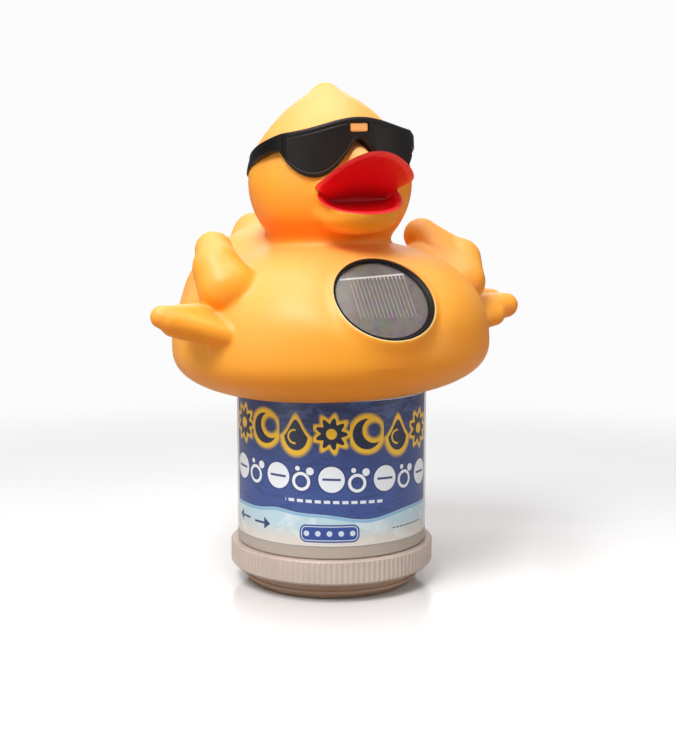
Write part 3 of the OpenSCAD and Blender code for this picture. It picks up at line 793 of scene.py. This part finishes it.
def vinyl_material():
    mat = Material("vinyl_yellow")
    x, y, z = mat.coords()
    cloud = mat.noise(0.03, detail=4.0)
    # painted light: paler where it faces the key light (up, forward and to -X), painted shade
    # deeper underneath
    normal_x, normal_y, normal_z = mat.split(
        mat.make("ShaderNodeNewGeometry").output("Normal"))
    key_light_facing = normal_x * -0.42 + normal_y * -0.42 + normal_z * 0.8 + (cloud - 0.5) * 0.12
    shown = mat.mix(key_light_facing.ramp(-0.15, 0.65), VINYL_SHADED, VINYL_MID)
    shown = mat.mix(key_light_facing.ramp(0.5, 1.1), shown, VINYL_LIT)
    # painted highlight: paler toward the crown, where the light from above falls; a little pinker
    # on the wings
    shown = mat.mix(z.ramp(212, 248) * 0.4, shown, (0.95, 0.45, 0.17))
    # painted shade: deeper orange-pink on the downward-facing undersides of the wing tips
    wing_tip_shade = abs(x).ramp(84, 108) * normal_z.ramp(0.35, -0.35) * 0.35
    shown = mat.mix(wing_tip_shade, shown, (0.9, 0.2, 0.045))
    near_lobe = length(length(x + 75.0, y - 20.0) * 0.6, z - 152.0)
    far_lobe = length(length(x - 74.0, y + 22.0) * 0.6, z - 160.0)
    shown = mat.mix(smaller(near_lobe, far_lobe).ramp(17, 5) * 0.15, shown, (0.92, 0.27, 0.09))
    # painted shade: deeper orange where the neck tucks under the head
    neck_radius = length(x + 0.5, y)
    neck = abs(z - 178.0).ramp(9.0, 2.0) * neck_radius.ramp(44.0, 34.0) * 0.6
    shown = mat.mix(neck, shown, (0.88, 0.17, 0.0))
    # cream cut edge round the light module, with a painted highlight that grows toward its lower
    # side
    from_y, from_z = y - float(MOD_C[1]), z - float(MOD_C[2])
    local_x = x - float(MOD_C[0])
    local_y = along_module(from_y, from_z, MOD_Y)
    local_z = along_module(from_y, from_z, MOD_Z)
    edge = (length(local_x, local_y).ramp(MOD_HOLE_R + 0.5, MOD_HOLE_R + 0.25)
            * local_z.ramp(-1.2, -0.6))
    shown = mat.mix(edge * (local_y.ramp(8.0, -12.0) * 0.5 + 0.15), shown, rgb(255, 238, 190))
    # painted highlight: paler on the brow and the bridge of the bill, lifting the shade the
    # sunglasses cast there
    brow = smaller(length(x, z - BROW_Z), length(x, z - 214.0) * 0.8)
    shown = mat.mix(brow.ramp(9.0, 3.0) * y.ramp(-33.0, -38.0) * 0.6, shown, (0.95, 0.47, 0.20))
    ripple, grain = mat.noise(0.5), mat.noise(2.6, detail=2.0)
    return mat.principled(
        Base_Color=shown, Roughness=cloud * 0.12 + 0.36,
        Normal=mat.bump(grain, depth=0.012, normal=mat.bump(ripple, depth=0.02)),
        Specular_IOR_Level=0.32, Subsurface_Weight=0.22,
        Subsurface_Radius=(0.004, 0.0018, 0.0003), Subsurface_Scale=1.0, Sheen_Weight=0.03)


def red_material():
    mat = Material("bill_red")
    lip = mat.make("ShaderNodeAttribute", attribute_name="lip").output("Fac")
    deep = mat.make("ShaderNodeAttribute", attribute_name="deep").output("Fac")
    cloud = mat.noise(0.12, detail=4.0)
    shown = mat.mix(cloud, (0.78, 0.002, 0.004), (0.88, 0.004, 0.008))
    # painted highlight: lighter red along the lip band
    shown = mat.mix(lip, shown, (0.95, 0.035, 0.045))
    # painted shade: darker red deep in the mouth, toward the throat
    shown = mat.mix(deep, shown, (0.42, 0.0, 0.004))
    return mat.principled(
        Base_Color=shown, Roughness=cloud * 0.1 + 0.3, Normal=mat.bump(mat.noise(1.5), depth=0.02),
        Specular_IOR_Level=0.5, Subsurface_Weight=0.08,
        Subsurface_Radius=(0.004, 0.0006, 0.0004))


def shades_material():
    """matt lens panels, painted a little lighter as a sheen, between glossier, blacker arms"""
    mat = Material("sunglasses_black")
    x, y, z = mat.coords()
    cloud = mat.noise(0.08, detail=4.0)
    bearing = abs(x.math("ARCTAN2", 1.0 - y))  # radians from straight ahead
    lens = bearing.ramp(0.885, 0.845)
    crease = abs(bearing - 0.865).ramp(0.022, 0.0)
    arm_colour = mat.mix(cloud, (0.004, 0.003, 0.003), (0.009, 0.007, 0.007))
    # painted sheen: the lens panels are coloured a little lighter than the arms
    lens_sheen_colour = mat.mix(cloud, (0.006, 0.0042, 0.004), (0.012, 0.0085, 0.008))
    grain = mat.bump(mat.noise(1.1, detail=4.0, rough=0.6), depth=0.06)
    return mat.principled(
        Base_Color=mat.mix(lens, arm_colour, lens_sheen_colour),
        Roughness=cloud * 0.14 + lens * 0.14 + 0.27, Specular_IOR_Level=lens * 0.06 + 0.2,
        Normal=mat.bump(crease, depth=-0.25, normal=grain))


# ---------------------------------------------------------------- materials of the light module
def cell_material():
    mat = Material("solar_cell_film")
    cloud, fine = mat.noise(0.05), mat.noise(0.9, detail=5.0, rough=0.6)
    crystal = mat.make("ShaderNodeTexVoronoi", {"Vector": mat.position, "Scale": 0.35},
                       feature="F1").output("Color")
    shown = mat.mix(cloud, rgb(98, 89, 84), rgb(121, 109, 102))
    shown = mat.mix(0.06, shown, crystal)
    shown = mat.mix(fine * 0.12, shown, rgb(80, 60, 58))
    return mat.principled(Base_Color=shown, Roughness=0.34, Metallic=0.25,
                          Specular_IOR_Level=0.6, Normal=mat.bump(fine, depth=0.008))


def grid_material():
    """printed silver: bright busbar, thinner duller lines"""
    mat = Material("silver_print")
    x, y, z = mat.coords()
    local_y = along_module(y - float(MOD_C[1]), z - float(MOD_C[2]), MOD_Y)
    cloud = mat.noise(1.6)
    busbar = local_y.ramp(12.4, 13.2)
    line = mat.mix(cloud.ramp(0.3, 0.7), rgb(150, 140, 132), rgb(190, 182, 172))
    return mat.principled(
        Base_Color=mat.mix(busbar, line, rgb(236, 234, 230)), Metallic=busbar * 0.5 + 0.2,
        Roughness=cloud * 0.2 + 0.3, Normal=mat.bump(cloud, depth=0.02))


def board_material():
    mat = Material("circuit_board_mask")
    brick = mat.make("ShaderNodeTexBrick", {
        "Vector": mat.position, "Scale": 0.3, "Mortar Size": 0.06,
        "Color1": rgb(16, 92, 50), "Color2": rgb(20, 104, 56), "Mortar": rgb(60, 140, 84),
    }, offset=0.5)
    return mat.principled(Base_Color=brick, Roughness=mat.noise(0.4) * 0.2 + 0.3,
                          Normal=mat.bump(brick.output(1), depth=0.03))


def lamp_material():
    mat = Material("lamp_clear")
    return mat.principled(
        Base_Color=mat.mix(mat.noise(0.5), rgb(238, 240, 226), rgb(250, 250, 244)),
        Roughness=0.12, Transmission_Weight=0.5, IOR=1.5,
        Emission_Color=rgb(255, 250, 220), Emission_Strength=0.05)


def battery_material():
    """green and pale sleeve with a light band, bare metal at the +X end"""
    mat = Material("battery_sleeve")
    along = mat.coords()[0] - float(MOD_C[0])
    cloud = mat.noise(0.3, detail=4.0)
    shown = mat.mix(along.ramp(6.0, 6.4), rgb(40, 120, 66), rgb(214, 214, 208))
    shown = mat.mix(abs(along - 4.8).ramp(0.6, 0.4), shown, rgb(226, 226, 220))
    shown = mat.mix(along.ramp(12.6, 13.0), shown, rgb(190, 190, 194))
    return mat.principled(
        Base_Color=mat.mix(cloud * 0.15, shown, (0.05, 0.05, 0.05)), Roughness=0.3,
        Metallic=along.ramp(12.6, 13.0), Normal=mat.bump(cloud, depth=0.03))


# ---------------------------------------------------------------- label
LABEL_R, LABEL_SKEW = 48.27, 1.6
LABEL_Z = (28.0, 98.2)      # lower and upper edge
NAVY, YELLOW, WHITE = rgb(22, 30, 66), rgb(250, 200, 40), rgb(240, 244, 250)
DOT_BLUE = rgb(206, 222, 234)


def sky_symbols(mat, shown, around, skewed, printed):
    """row of suns, moons and drops, dark with a yellow glow"""
    x, index = repeat(around, 17.5)
    y = skewed - 82.6
    kind = index.math("FLOORED_MODULO", 3.0)
    radius, angle = length(x, y), y.math("ARCTAN2", x)
    sun = radius - ((angle * 9.0).math("COSINE") * 1.35 + 6.4)
    moon = larger(radius - 7.4, 6.2 - length(x - 3.6, y - 1.8))
    drop = length(x * (larger(y + 2.2, 0.0) * 0.17 + 1.0), (y + 1.4) * 0.82) - 6.1
    not_sun = kind.ramp(0.4, 0.6)
    is_drop = kind.ramp(1.4, 1.6)
    symbol = sun * (1.0 - not_sun) + moon * not_sun * (1.0 - is_drop) + drop * is_drop
    shown = mat.mix(symbol.ramp(3.6, 1.2) * printed, shown, YELLOW)
    shown = mat.mix(symbol.inside() * printed, shown, NAVY)
    sun_eye = (length(x, y) - 2.6).inside() * (1.0 - not_sun) * printed
    shown = mat.mix(sun_eye, shown, YELLOW)
    glint = abs(length(x + 0.6, y + 2.2) - 3.2) - 0.45
    return mat.mix(glint.inside() * is_drop * printed * x.ramp(0.4, -0.4), shown, YELLOW)


def tablet_symbols(mat, shown, around, skewed, printed):
    """row of white tablets and bubbles with a thin dashed rule under it"""
    x, index = repeat(around, 13.6)
    y = skewed - 60.6
    odd = index.math("FLOORED_MODULO", 2.0).ramp(0.4, 0.6)
    tablet = larger(length(x, y) - 6.3, -larger(abs(y) - 0.55, abs(x) - 4.4))
    bubbles = smaller(smaller(abs(length(x + 1.2, y + 1.6) - 3.8) - 0.75,
                              length(x - 3.2, y - 3.6) - 1.9),
                      length(x + 3.0, y - 4.6) - 1.2)
    symbol = tablet * (1.0 - odd) + bubbles * odd
    shown = mat.mix(symbol.ramp(1.3, 0.5) * printed * 0.5, shown, rgb(40, 56, 110))
    shown = mat.mix(symbol.inside() * printed, shown, WHITE)
    rule = larger(larger(abs(skewed - 49.6) - 0.75, abs(around - 2.0) - 25.0),
                  dashes(around, 4.4, half_gap=1.5))
    return mat.mix(rule.inside() * 0.9, shown, WHITE)


def arrow(around, z, centre, height, way):
    x, y = (around - centre) * way, z - height
    shaft = larger(abs(x + 1.0) - 3.6, abs(y) - 0.55)
    tip = larger(abs(y) + (x - 6.4) * 0.75, 2.4 - x)
    return smaller(shaft, tip)


def label_foot(mat, around, z, edge, cloud_vector):
    """pale lower part with two arrows, a plaque of dots and a small dashed rule"""
    pale = mat.mix(z.ramp(28.0, 40.0), rgb(226, 216, 204), rgb(188, 216, 226))
    cloud = mat.noise(0.08, detail=4.0, rough=0.6, vector=cloud_vector, distortion=0.8)
    pale = mat.mix(cloud.ramp(0.5, 0.62) * 0.45, pale, rgb(232, 240, 242))
    pale = mat.mix(abs(z - edge + 0.9).ramp(0.9, 0.5), pale, rgb(140, 186, 216))
    arrows = smaller(arrow(around, z, centre=-52.0, height=37.2, way=-1.0),
                     arrow(around, z, centre=-38.5, height=36.6, way=1.0))
    pale = mat.mix(arrows.inside(), pale, rgb(52, 62, 110))
    x, y = around + 1.0, z - 34.2
    plaque = length(larger(abs(x) - 11.2, 0.0), larger(abs(y) - 1.0, 0.0)) - 3.4
    dots = larger(length(repeat(x, 5.6)[0], y) - 1.35, abs(x) - 13.5)
    pale = mat.mix(plaque.inside(), pale, rgb(50, 76, 150))
    pale = mat.mix((abs(plaque + 1.0) - 0.22).inside(), pale, DOT_BLUE)
    pale = mat.mix(dots.inside(), pale, DOT_BLUE)
    rule = larger(larger(abs(z - 34.6) - 0.3, abs(around - 43.0) - 11.0),
                  dashes(around, 2.6, half_gap=1.0))
    return mat.mix(rule.inside(soft=0.08), pale, rgb(70, 80, 110))


def label_material():
    mat = Material("wrap_label")
    x, y, z = mat.coords()
    middle = math.radians(-110)
    ahead = x * math.cos(middle) + y * math.sin(middle)
    aside = x * -math.sin(middle) + y * math.cos(middle)
    around = aside.math("ARCTAN2", ahead) * LABEL_R  # arc length from the middle
    skewed = z + around * math.tan(math.radians(LABEL_SKEW))
    flat_vector = mat.combine(around, z, 0.0)
    # water blue field, rippled and darker at the top
    ripple = mat.noise(0.09, detail=5.0, rough=0.6, distortion=1.2,
                       vector=mat.combine(around, z * 3.2, 0.0))
    shown = mat.mix(z.ramp(50, 96), rgb(60, 84, 150), rgb(36, 52, 104))
    shown = mat.mix(ripple.ramp(0.48, 0.66) * z.ramp(62, 92) * 0.6, shown, rgb(78, 100, 158))
    shown = mat.mix(ripple.ramp(0.5, 0.36) * 0.35, shown, rgb(28, 40, 90))
    printed = abs(around).ramp(62.0, 61.0)
    shown = sky_symbols(mat, shown, around, skewed, printed)
    shown = tablet_symbols(mat, shown, around, skewed, printed)
    # the foot meets the field at a wave line: one dip and one crest
    dip = ((around - 18.0) * (around - 18.0) * (-1 / 240.0)).math("EXPONENT") * 3.3
    crest = ((around + 28.0) * (around + 28.0) * (-1 / 70.0)).math("EXPONENT") * 1.6
    edge = 43.9 - dip + crest
    below = (z - edge).ramp(0.15, -0.15)
    shown = mat.mix(below, shown, label_foot(mat, around, z, edge, flat_vector))
    # film edge
    shown = mat.mix(smaller(z - LABEL_Z[0], LABEL_Z[1] - z).ramp(0.5, 0.2), shown,
                    rgb(225, 228, 232))
    wrinkle = mat.noise(0.05, vector=mat.combine(around * 0.4, z, 0.0))
    return mat.principled(
        Base_Color=shown, Roughness=wrinkle * 0.14 + 0.26,
        Normal=mat.bump(wrinkle, depth=0.25), Specular_IOR_Level=0.5, Coat_Weight=0.2,
        Coat_Roughness=0.1)


# ---------------------------------------------------------------- float shell
# openings as (radius, z) points, the module's in its own frame
MODULE_HOLE = [(0, 5), (MOD_HOLE_R, 5), (MOD_HOLE_R, -11.4), (27.6, -11.4), (27.6, -30), (0, -30)]
SOCKET_HOLE = [(0, 80), (49.2, 80), (49.2, 100.5), (50.8, 100.5), (50.8, 102.9), (53.8, 102.9),
               (53.8, 105.1), (50.8, 105.1), (50.8, 140), (0, 140)]


def bill_distance():
    """distance to a slightly shrunken bill, so the skin flows on to it"""
    grow = -0.45
    points, faces = loft(bill_rows(grow, ring_stations(96), 8),
                         head_tilted(np.array([0, -54, 202.0])),
                         head_tilted(np.array([0, BILL_BACK_Y + grow * 0.5, BILL_BACK_Z])))
    return level_set(points, outward(points, faces))


def bill_hole():
    """pocket for the bill, flaring open in front of the mouth"""
    stations = ring_stations(192)
    mouth = []
    for forward, flare in ((30.0, 0.9), (4.0, 0.1)):
        ring = smooth_ring(rim(stations, 1.35 + flare)) - np.array([0, forward, 0])
        mouth.append(head_tilted(ring))
    rows = mouth + bill_rows(0.05, stations, 12)
    end = head_tilted(np.array([0.0, BILL_BACK_Y, BILL_BACK_Z]))
    return new_mesh("hole_bill", *loft(rows, mouth[0].mean(0), end))


def build_shell():
    bill_grid = bill_distance()
    skin = sample(lambda pos, slab: float_surface(pos, bill_grid[slab]))
    shell = field_object("float_skin", skin)

    def cavity(pos, slab):
        """inside of the skin, left solid round the socket, the module and the bill"""
        hollow = skin[slab] + SKIN
        radius = np.sqrt(pos[0] ** 2 + pos[1] ** 2)
        socket_pad = np.maximum(radius - 62, np.abs(pos[2] - 93.5) - 13.5)
        x, y, z = module_local(pos)
        module_pad = np.maximum(np.sqrt(x ** 2 + y ** 2) - BOSS_R, np.abs(z - 3.6) - 15)
        bill_pad = ellipsoid(pos, (0, -38, BILL_BACK_Z), (28, 17, 19))
        for pad in (socket_pad, module_pad, bill_pad):
            hollow = np.maximum(hollow, -pad)
        return hollow

    cutters = [field_object("hollow", sample(cavity)),
               revolve("hole_module", MODULE_HOLE, in_module=True),
               revolve("hole_socket", SOCKET_HOLE),
               bill_hole()]
    brow = brow_bar("brow", half_width=4.5, half_height=2.15, corner=0.9,
                    front_y=-41.2, back_y=-30.0, bevel=0.6)
    cut(shell, cutters, add=[brow])
    tidy(shell)
    shade(shell, 40)
    return shell


# ---------------------------------------------------------------- red bill
def build_bill(vinyl):
    count, outer_rows = 240, 16
    stations = ring_stations(count)
    rows, lip, deep = [], [], []
    inner_rim = smooth_ring(rim(stations))
    outer_rim = smooth_ring(rim(stations, LIP_GROW))
    across = outer_rim - inner_rim
    width = np.linalg.norm(across, axis=1)[:, None]
    outside = across / width
    forward = inner_rim - smooth_ring(throat(stations))
    forward /= np.linalg.norm(forward, axis=1)[:, None]
    # mouth, from the throat out; the painted lip stands a little proud of it
    for depth in np.linspace(1.0, 0.0, 26) ** 1.15:
        row = smooth_ring(inner(stations, depth))
        distance = np.linalg.norm(row - inner_rim, axis=1)
        sink = 0.55 / (1 + np.exp(-(distance - 2.1) / 0.28)) * min(1.0, (1 - depth) * 6)
        rows.append(row + outside * sink[:, None] * 0.8)
        # the lip band is marked here for a painted highlight
        lip.append(1 / (1 + np.exp((distance - 2.0) / 0.3)))
        # the mouth toward the throat is marked here for painted shade
        deep.append(np.clip((depth - 0.62) / 0.38, 0, 1) ** 1.5 * np.ones(count))
    # rounded front edge of the lip
    for k in range(1, 8):
        angle = math.pi * k / 8
        rows.append(inner_rim + across * (0.5 - 0.5 * math.cos(angle))
                    + forward * 0.45 * width * math.sin(angle))
    for depth in np.linspace(0.0, 1.0, outer_rows):
        rows.append(smooth_ring(outer(stations, depth, 0.0)))
    plain = len(rows) - len(lip)
    lip += [np.ones(count)] * plain
    deep += [np.zeros(count)] * plain
    rows = [head_tilted(row) for row in rows]
    points, faces = loft(rows, head_tilted(np.array([0, -36.6, THROAT_Z])),
                         head_tilted(np.array([0.0, BILL_BACK_Y, BILL_BACK_Z])))
    bill = new_mesh("bill", points, faces)
    # the last two values are for the centres of the end fans
    for name, values, ends in (("lip", lip, [0.0, 0.0]), ("deep", deep, [1.0, 0.0])):
        attribute = bill.data.attributes.new(name, "FLOAT", "POINT")
        attribute.data.foreach_set(
            "value", np.concatenate(values + [np.array(ends)]).astype(np.float32))
    paint(bill, red_material(), vinyl)
    # vinyl on the outside and on the rear fan
    slots = np.zeros(len(faces), np.int32)
    slots[(len(rows) - outer_rows + 1) * count:(len(rows) - 1) * count] = 1
    slots[-count:] = 1
    bill.data.polygons.foreach_set("material_index", slots)
    shade(bill, 60)
    return bill


# ---------------------------------------------------------------- sunglasses
FRAME_R = 43.0
LENS_END = 50.0             # degrees from straight ahead where the arm starts
EDGE_ROUND = 1.5
EDGE_BAND = 3.6             # depth of the edge rows, at most 0.45 of the height
BAND_SHARE = 0.45


def top_edge(bearing):
    """z of the upper edge; bearings are in degrees from straight ahead"""
    return (230.4 - 6.2 * (1 - np.exp(-bearing * bearing / 900))
            - 10.5 * (np.maximum(bearing - 52, 0) / 55) ** 1.15)


def bottom_edge(bearing):
    """z of the lower edge: bridge, round lens, then arm"""
    across = (bearing - 29.8) / np.where(bearing < 29.8, 23.5, 25)
    low = np.where(np.abs(across) < 1, 216 - 13 * (1 - across * across),
                   np.minimum(216, top_edge(bearing) - 7))
    return np.where(bearing < 6.3, 216 + 3.8 * (1 - bearing * bearing / 39.7), low)


def around_head(radius, angle, z):
    return np.stack([radius * np.sin(angle), 1 - radius * np.cos(angle), z], -1)


def head_radius(angle, z, gap):
    """radius at which the head's distance reaches gap, by bisection"""
    low, high = np.full_like(z, 5.0), np.full_like(z, 60.0)
    for _ in range(18):
        middle = (low + high) / 2
        points = head_tilted(around_head(middle, angle, z))
        outside = head([points[..., i] for i in range(3)]) > gap
        high, low = np.where(outside, middle, high), np.where(outside, low, middle)
    return (low + high) / 2


def shades_levels(bearing):
    """(z, distance in from the nearer edge) of each row, from the bottom edge to the top"""
    bottom, top = bottom_edge(bearing), top_edge(bearing)
    kernel = np.array([0.25, 0.5, 0.25])
    for _ in range(3):
        bottom[1:-1] = np.convolve(bottom, kernel, "same")[1:-1]
    height = top - bottom
    insets = np.concatenate([EDGE_ROUND * (1 - np.cos(np.linspace(0, math.pi / 2, 6))),
                             [1.9, 2.3, 2.6, 2.9, 3.2, EDGE_BAND]])

    def scaled(inset):
        return np.minimum(inset, height * BAND_SHARE * inset / EDGE_BAND)

    band = np.minimum(EDGE_BAND, height * BAND_SHARE)
    low, high = bottom + band, top - band
    return ([(bottom + scaled(inset), inset) for inset in insets]
            + [(low + (high - low) * share, 4.0) for share in np.linspace(0, 1, 12)[1:-1]]
            + [(top - scaled(inset), inset) for inset in insets[::-1]])


def build_shades():
    count = 260
    degrees = np.linspace(-112, 112, count + 1)
    bearing, angle = np.abs(degrees), np.radians(degrees)
    frame_r = FRAME_R - 3.2 * (np.maximum(bearing - 60, 0) / 52) ** 1.5
    # lens panels are raised inside a plain frame; the arm starts at a small step
    lens = (1 / (1 + np.exp(-(LENS_END - bearing) / 0.35))
            * 1 / (1 + np.exp(-(bearing - 8.0) / 0.5)))
    arm = 1 / (1 + np.exp(-(bearing - LENS_END) / 0.3))
    front, rear = [], []
    for z, inset in shades_levels(bearing):
        drop = EDGE_ROUND - math.sqrt(
            max(EDGE_ROUND * EDGE_ROUND - (EDGE_ROUND - min(inset, EDGE_ROUND)) ** 2, 0))
        groove = 0.28 * math.exp(-((inset - 2.5) / 0.38) ** 2)
        radius = (frame_r - drop - groove * (1 - arm * 0.6) - 0.75 * arm
                  + 0.12 * lens * (1 if inset > 2.6 else 0))
        # never thinner than about 1 mm over the head
        least = head_radius(angle, z, 0.05) + 1.0 + (0.9 - min(inset, 0.9)) * -0.6
        front.append(around_head(np.maximum(radius, least), angle, z))
        rear.append(around_head(head_radius(angle, z, 0.06), angle, z))
    rings = np.stack(front + rear[::-1])
    sections = [head_tilted(rings[:, i]) for i in range(count + 1)]
    shades = new_mesh("sunglasses_frame",
                      *loft(sections, sections[0].mean(0), sections[-1].mean(0)))
    # bridge window with rounded corners
    cut(shades, [brow_bar("window", half_width=4.85, half_height=2.45, corner=1.1,
                          front_y=-60.0, back_y=-25.0, bevel=0.01)])
    tidy(shades)
    shade(shades, 50)
    paint(shades, shades_material())
    return shades


shell = build_shell()
vinyl = vinyl_material()
paint(shell, vinyl)
bill = build_bill(vinyl)
shades = build_shades()
for ob, node in ((shell, "float_shell"), (bill, "beak"), (shades, "sunglasses")):
    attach(ob, "float")
    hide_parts(node)

# ---------------------------------------------------------------- finishes for the CAD nodes
FINISHES = {
    "socket_cup": plastic("white_cup", rgb(232, 231, 226), rough=0.42, vary=0.02),
    "solar_housing": plastic("black_moulding", (0.006, 0.005, 0.005), rough=0.42, vary=0.1,
                             grain=0.03, grain_scale=1.6, spec=0.18),
    "seal_ring": rubber("seal_rubber", (0.02, 0.02, 0.02)),
    "solar_cell": cell_material(),
    "cell_grid": grid_material(),
    "cell_cover": clear_material("clear_cover", tint=(0.97, 0.97, 0.97), gloss=1.3),
    "circuit_board": board_material(),
    "leds": lamp_material(),
    "battery": battery_material(),
    "battery_clips": metal("spring_steel", (0.75, 0.75, 0.77), rough=0.28),
    "lead_wires": plastic("wire_sleeve", rgb(190, 24, 20), rough=0.45, vary=0.08),
    "switch_body": plastic("switch_black", (0.02, 0.02, 0.022), rough=0.45, vary=0.1),
    "switch_knob": plastic("switch_white", rgb(226, 226, 220), rough=0.35, vary=0.03),
    "cover_gasket": rubber("gasket_rubber", (0.02, 0.02, 0.02)),
    "back_cover": clear_material("frosted_cover", tint=(0.9, 0.9, 0.86), gloss=1.6, rough=0.3),
    "cover_screws": metal("screw_steel", (0.7, 0.7, 0.72), rough=0.3),
    # the canister's lower band is painted shade, where the float's shadow falls
    "canister": plastic("white_canister", rgb(238, 236, 232), rough=0.36, vary=0.02,
                        grain=0.015, grain_scale=0.9, sss=0.05,
                        foot=(rgb(182, 170, 158), 28.2, 27.8)),
    "label": label_material(),
    "neck_gasket": rubber("neck_rubber", (0.03, 0.03, 0.03)),
    # off-white plastic, painted darker as shade from the float above
    "flow_collar": plastic("collar_offwhite_shaded", rgb(204, 187, 175), vary=0.03, grain_scale=1.0,
                           sss=0.05),
    # painted shade: the foot is white plastic, coloured warm grey for the shadow it sits in
    "base_foot": plastic("foot_shaded_grey", rgb(190, 154, 130), rough=0.42, grain_scale=1.0),
    "screw_washer": rubber("washer_rubber", (0.03, 0.03, 0.03)),
    "centre_screw": metal("stainless", (0.7, 0.7, 0.72), rough=0.28),
}
for name, material in FINISHES.items():
    paint(NODES[name], material)

# ---------------------------------------------------------------- stage
BACKDROP = 0.97             # brightness the floor and world share


def floor_material():
    mat = Material("studio_floor")
    x, y, z = mat.coords()
    cloud = mat.noise(0.002)
    gloss = mat.make("ShaderNodeBsdfPrincipled", {
        "Base Color": mat.mix(cloud, (0.86, 0.86, 0.86), (0.9, 0.9, 0.9)),
        "Roughness": cloud * 0.06 + 0.14, "Specular IOR Level": 0.35})
    glow = mat.make("ShaderNodeEmission", {"Strength": BACKDROP})
    seen = mat.mix_shader(length(x, y).ramp(260.0, 620.0), gloss, glow)
    # light that bounces off the floor on to the object comes back dimmer
    dim = mat.make("ShaderNodeBsdfDiffuse", {0: (0.42, 0.40, 0.38)})
    camera_ray = mat.make("ShaderNodeLightPath").output("Is Camera Ray")
    above = mat.mix_shader(camera_ray, dim, seen)
    # seen from below it isn't there, so the underside can be looked at
    backfacing = mat.make("ShaderNodeNewGeometry").output("Backfacing")
    clear = mat.make("ShaderNodeBsdfTransparent")
    return mat.finish(mat.mix_shader(backfacing, above, clear))


def build_floor():
    half = 9  # metres
    mesh = bpy.data.meshes.new("floor")
    mesh.from_pydata([(-half, -half, 0), (half, -half, 0), (half, half, 0), (-half, half, 0)],
                     [], [(0, 1, 2, 3)])
    floor = add_object("floor", mesh)
    floor.location.z = -0.0002
    mesh.materials.append(floor_material())


def build_world():
    """plain white to the camera; lights the scene brighter from above"""
    world = bpy.data.worlds.new("studio")
    scene.world = world
    graph = Graph(world, "ShaderNodeOutputWorld")
    up = graph.split(graph.make("ShaderNodeTexCoord").output("Generated"))[2]
    strength = graph.make("ShaderNodeMapRange", {
        "Value": up, "From Min": -0.1, "From Max": 1.0, "To Min": 0.16, "To Max": 0.6,
    }, interpolation_type="SMOOTHSTEP")
    lighting = graph.make("ShaderNodeBackground", {"Strength": strength})
    backdrop = graph.make("ShaderNodeBackground", {"Color": (1, 1, 1), "Strength": BACKDROP})
    camera_ray = graph.make("ShaderNodeLightPath").output("Is Camera Ray")
    graph.finish(graph.mix_shader(camera_ray, lighting, backdrop))


# name, position and height aimed at on the Z axis (metres), size (metres), power (watts)
LIGHTS = [
    ("key", (-0.55, -0.52, 1.08), 0.15, 0.55, 14.0),
    ("fill", (0.75, -0.6, 0.4), 0.13, 0.6, 1.1),
    ("top", (0.0, 0.1, 1.05), 0.15, 0.7, 5.0),
    ("low", (-0.85, -0.3, 0.10), 0.11, 0.5, 1.7),
    ("low_right", (0.7, -0.55, 0.06), 0.10, 0.4, 0.9),
    ("rim", (0.35, 0.95, 0.6), 0.13, 0.6, 1.8),
]


def area_light(name, position, target_z, size, power):
    light = bpy.data.lights.new(name, "AREA")
    light.energy, light.size = power, size
    ob = add_object(name, light)
    ob.location = position
    ob.rotation_mode = "QUATERNION"
    aim = Vector((0, 0, target_z)) - Vector(position)
    ob.rotation_quaternion = aim.to_track_quat("-Z", "Y")


def build_camera():
    data = bpy.data.cameras.new("camera")
    camera = add_object("camera", data)
    scene.camera = camera
    data.sensor_width = 36.0
    data.lens = 62.95
    camera.location = (-0.2223, -0.6108, 0.1927)
    camera.rotation_mode = "XYZ"
    # looks 7.5 degrees down
    camera.rotation_euler = (math.radians(90 - 7.5), 0, math.radians(-VIEW_HEADING - 0.29))


build_floor()
build_world()
for light_row in LIGHTS:
    area_light(*light_row)
build_camera()
scene.view_settings.view_transform = "Standard"
scene.view_settings.look = "None"
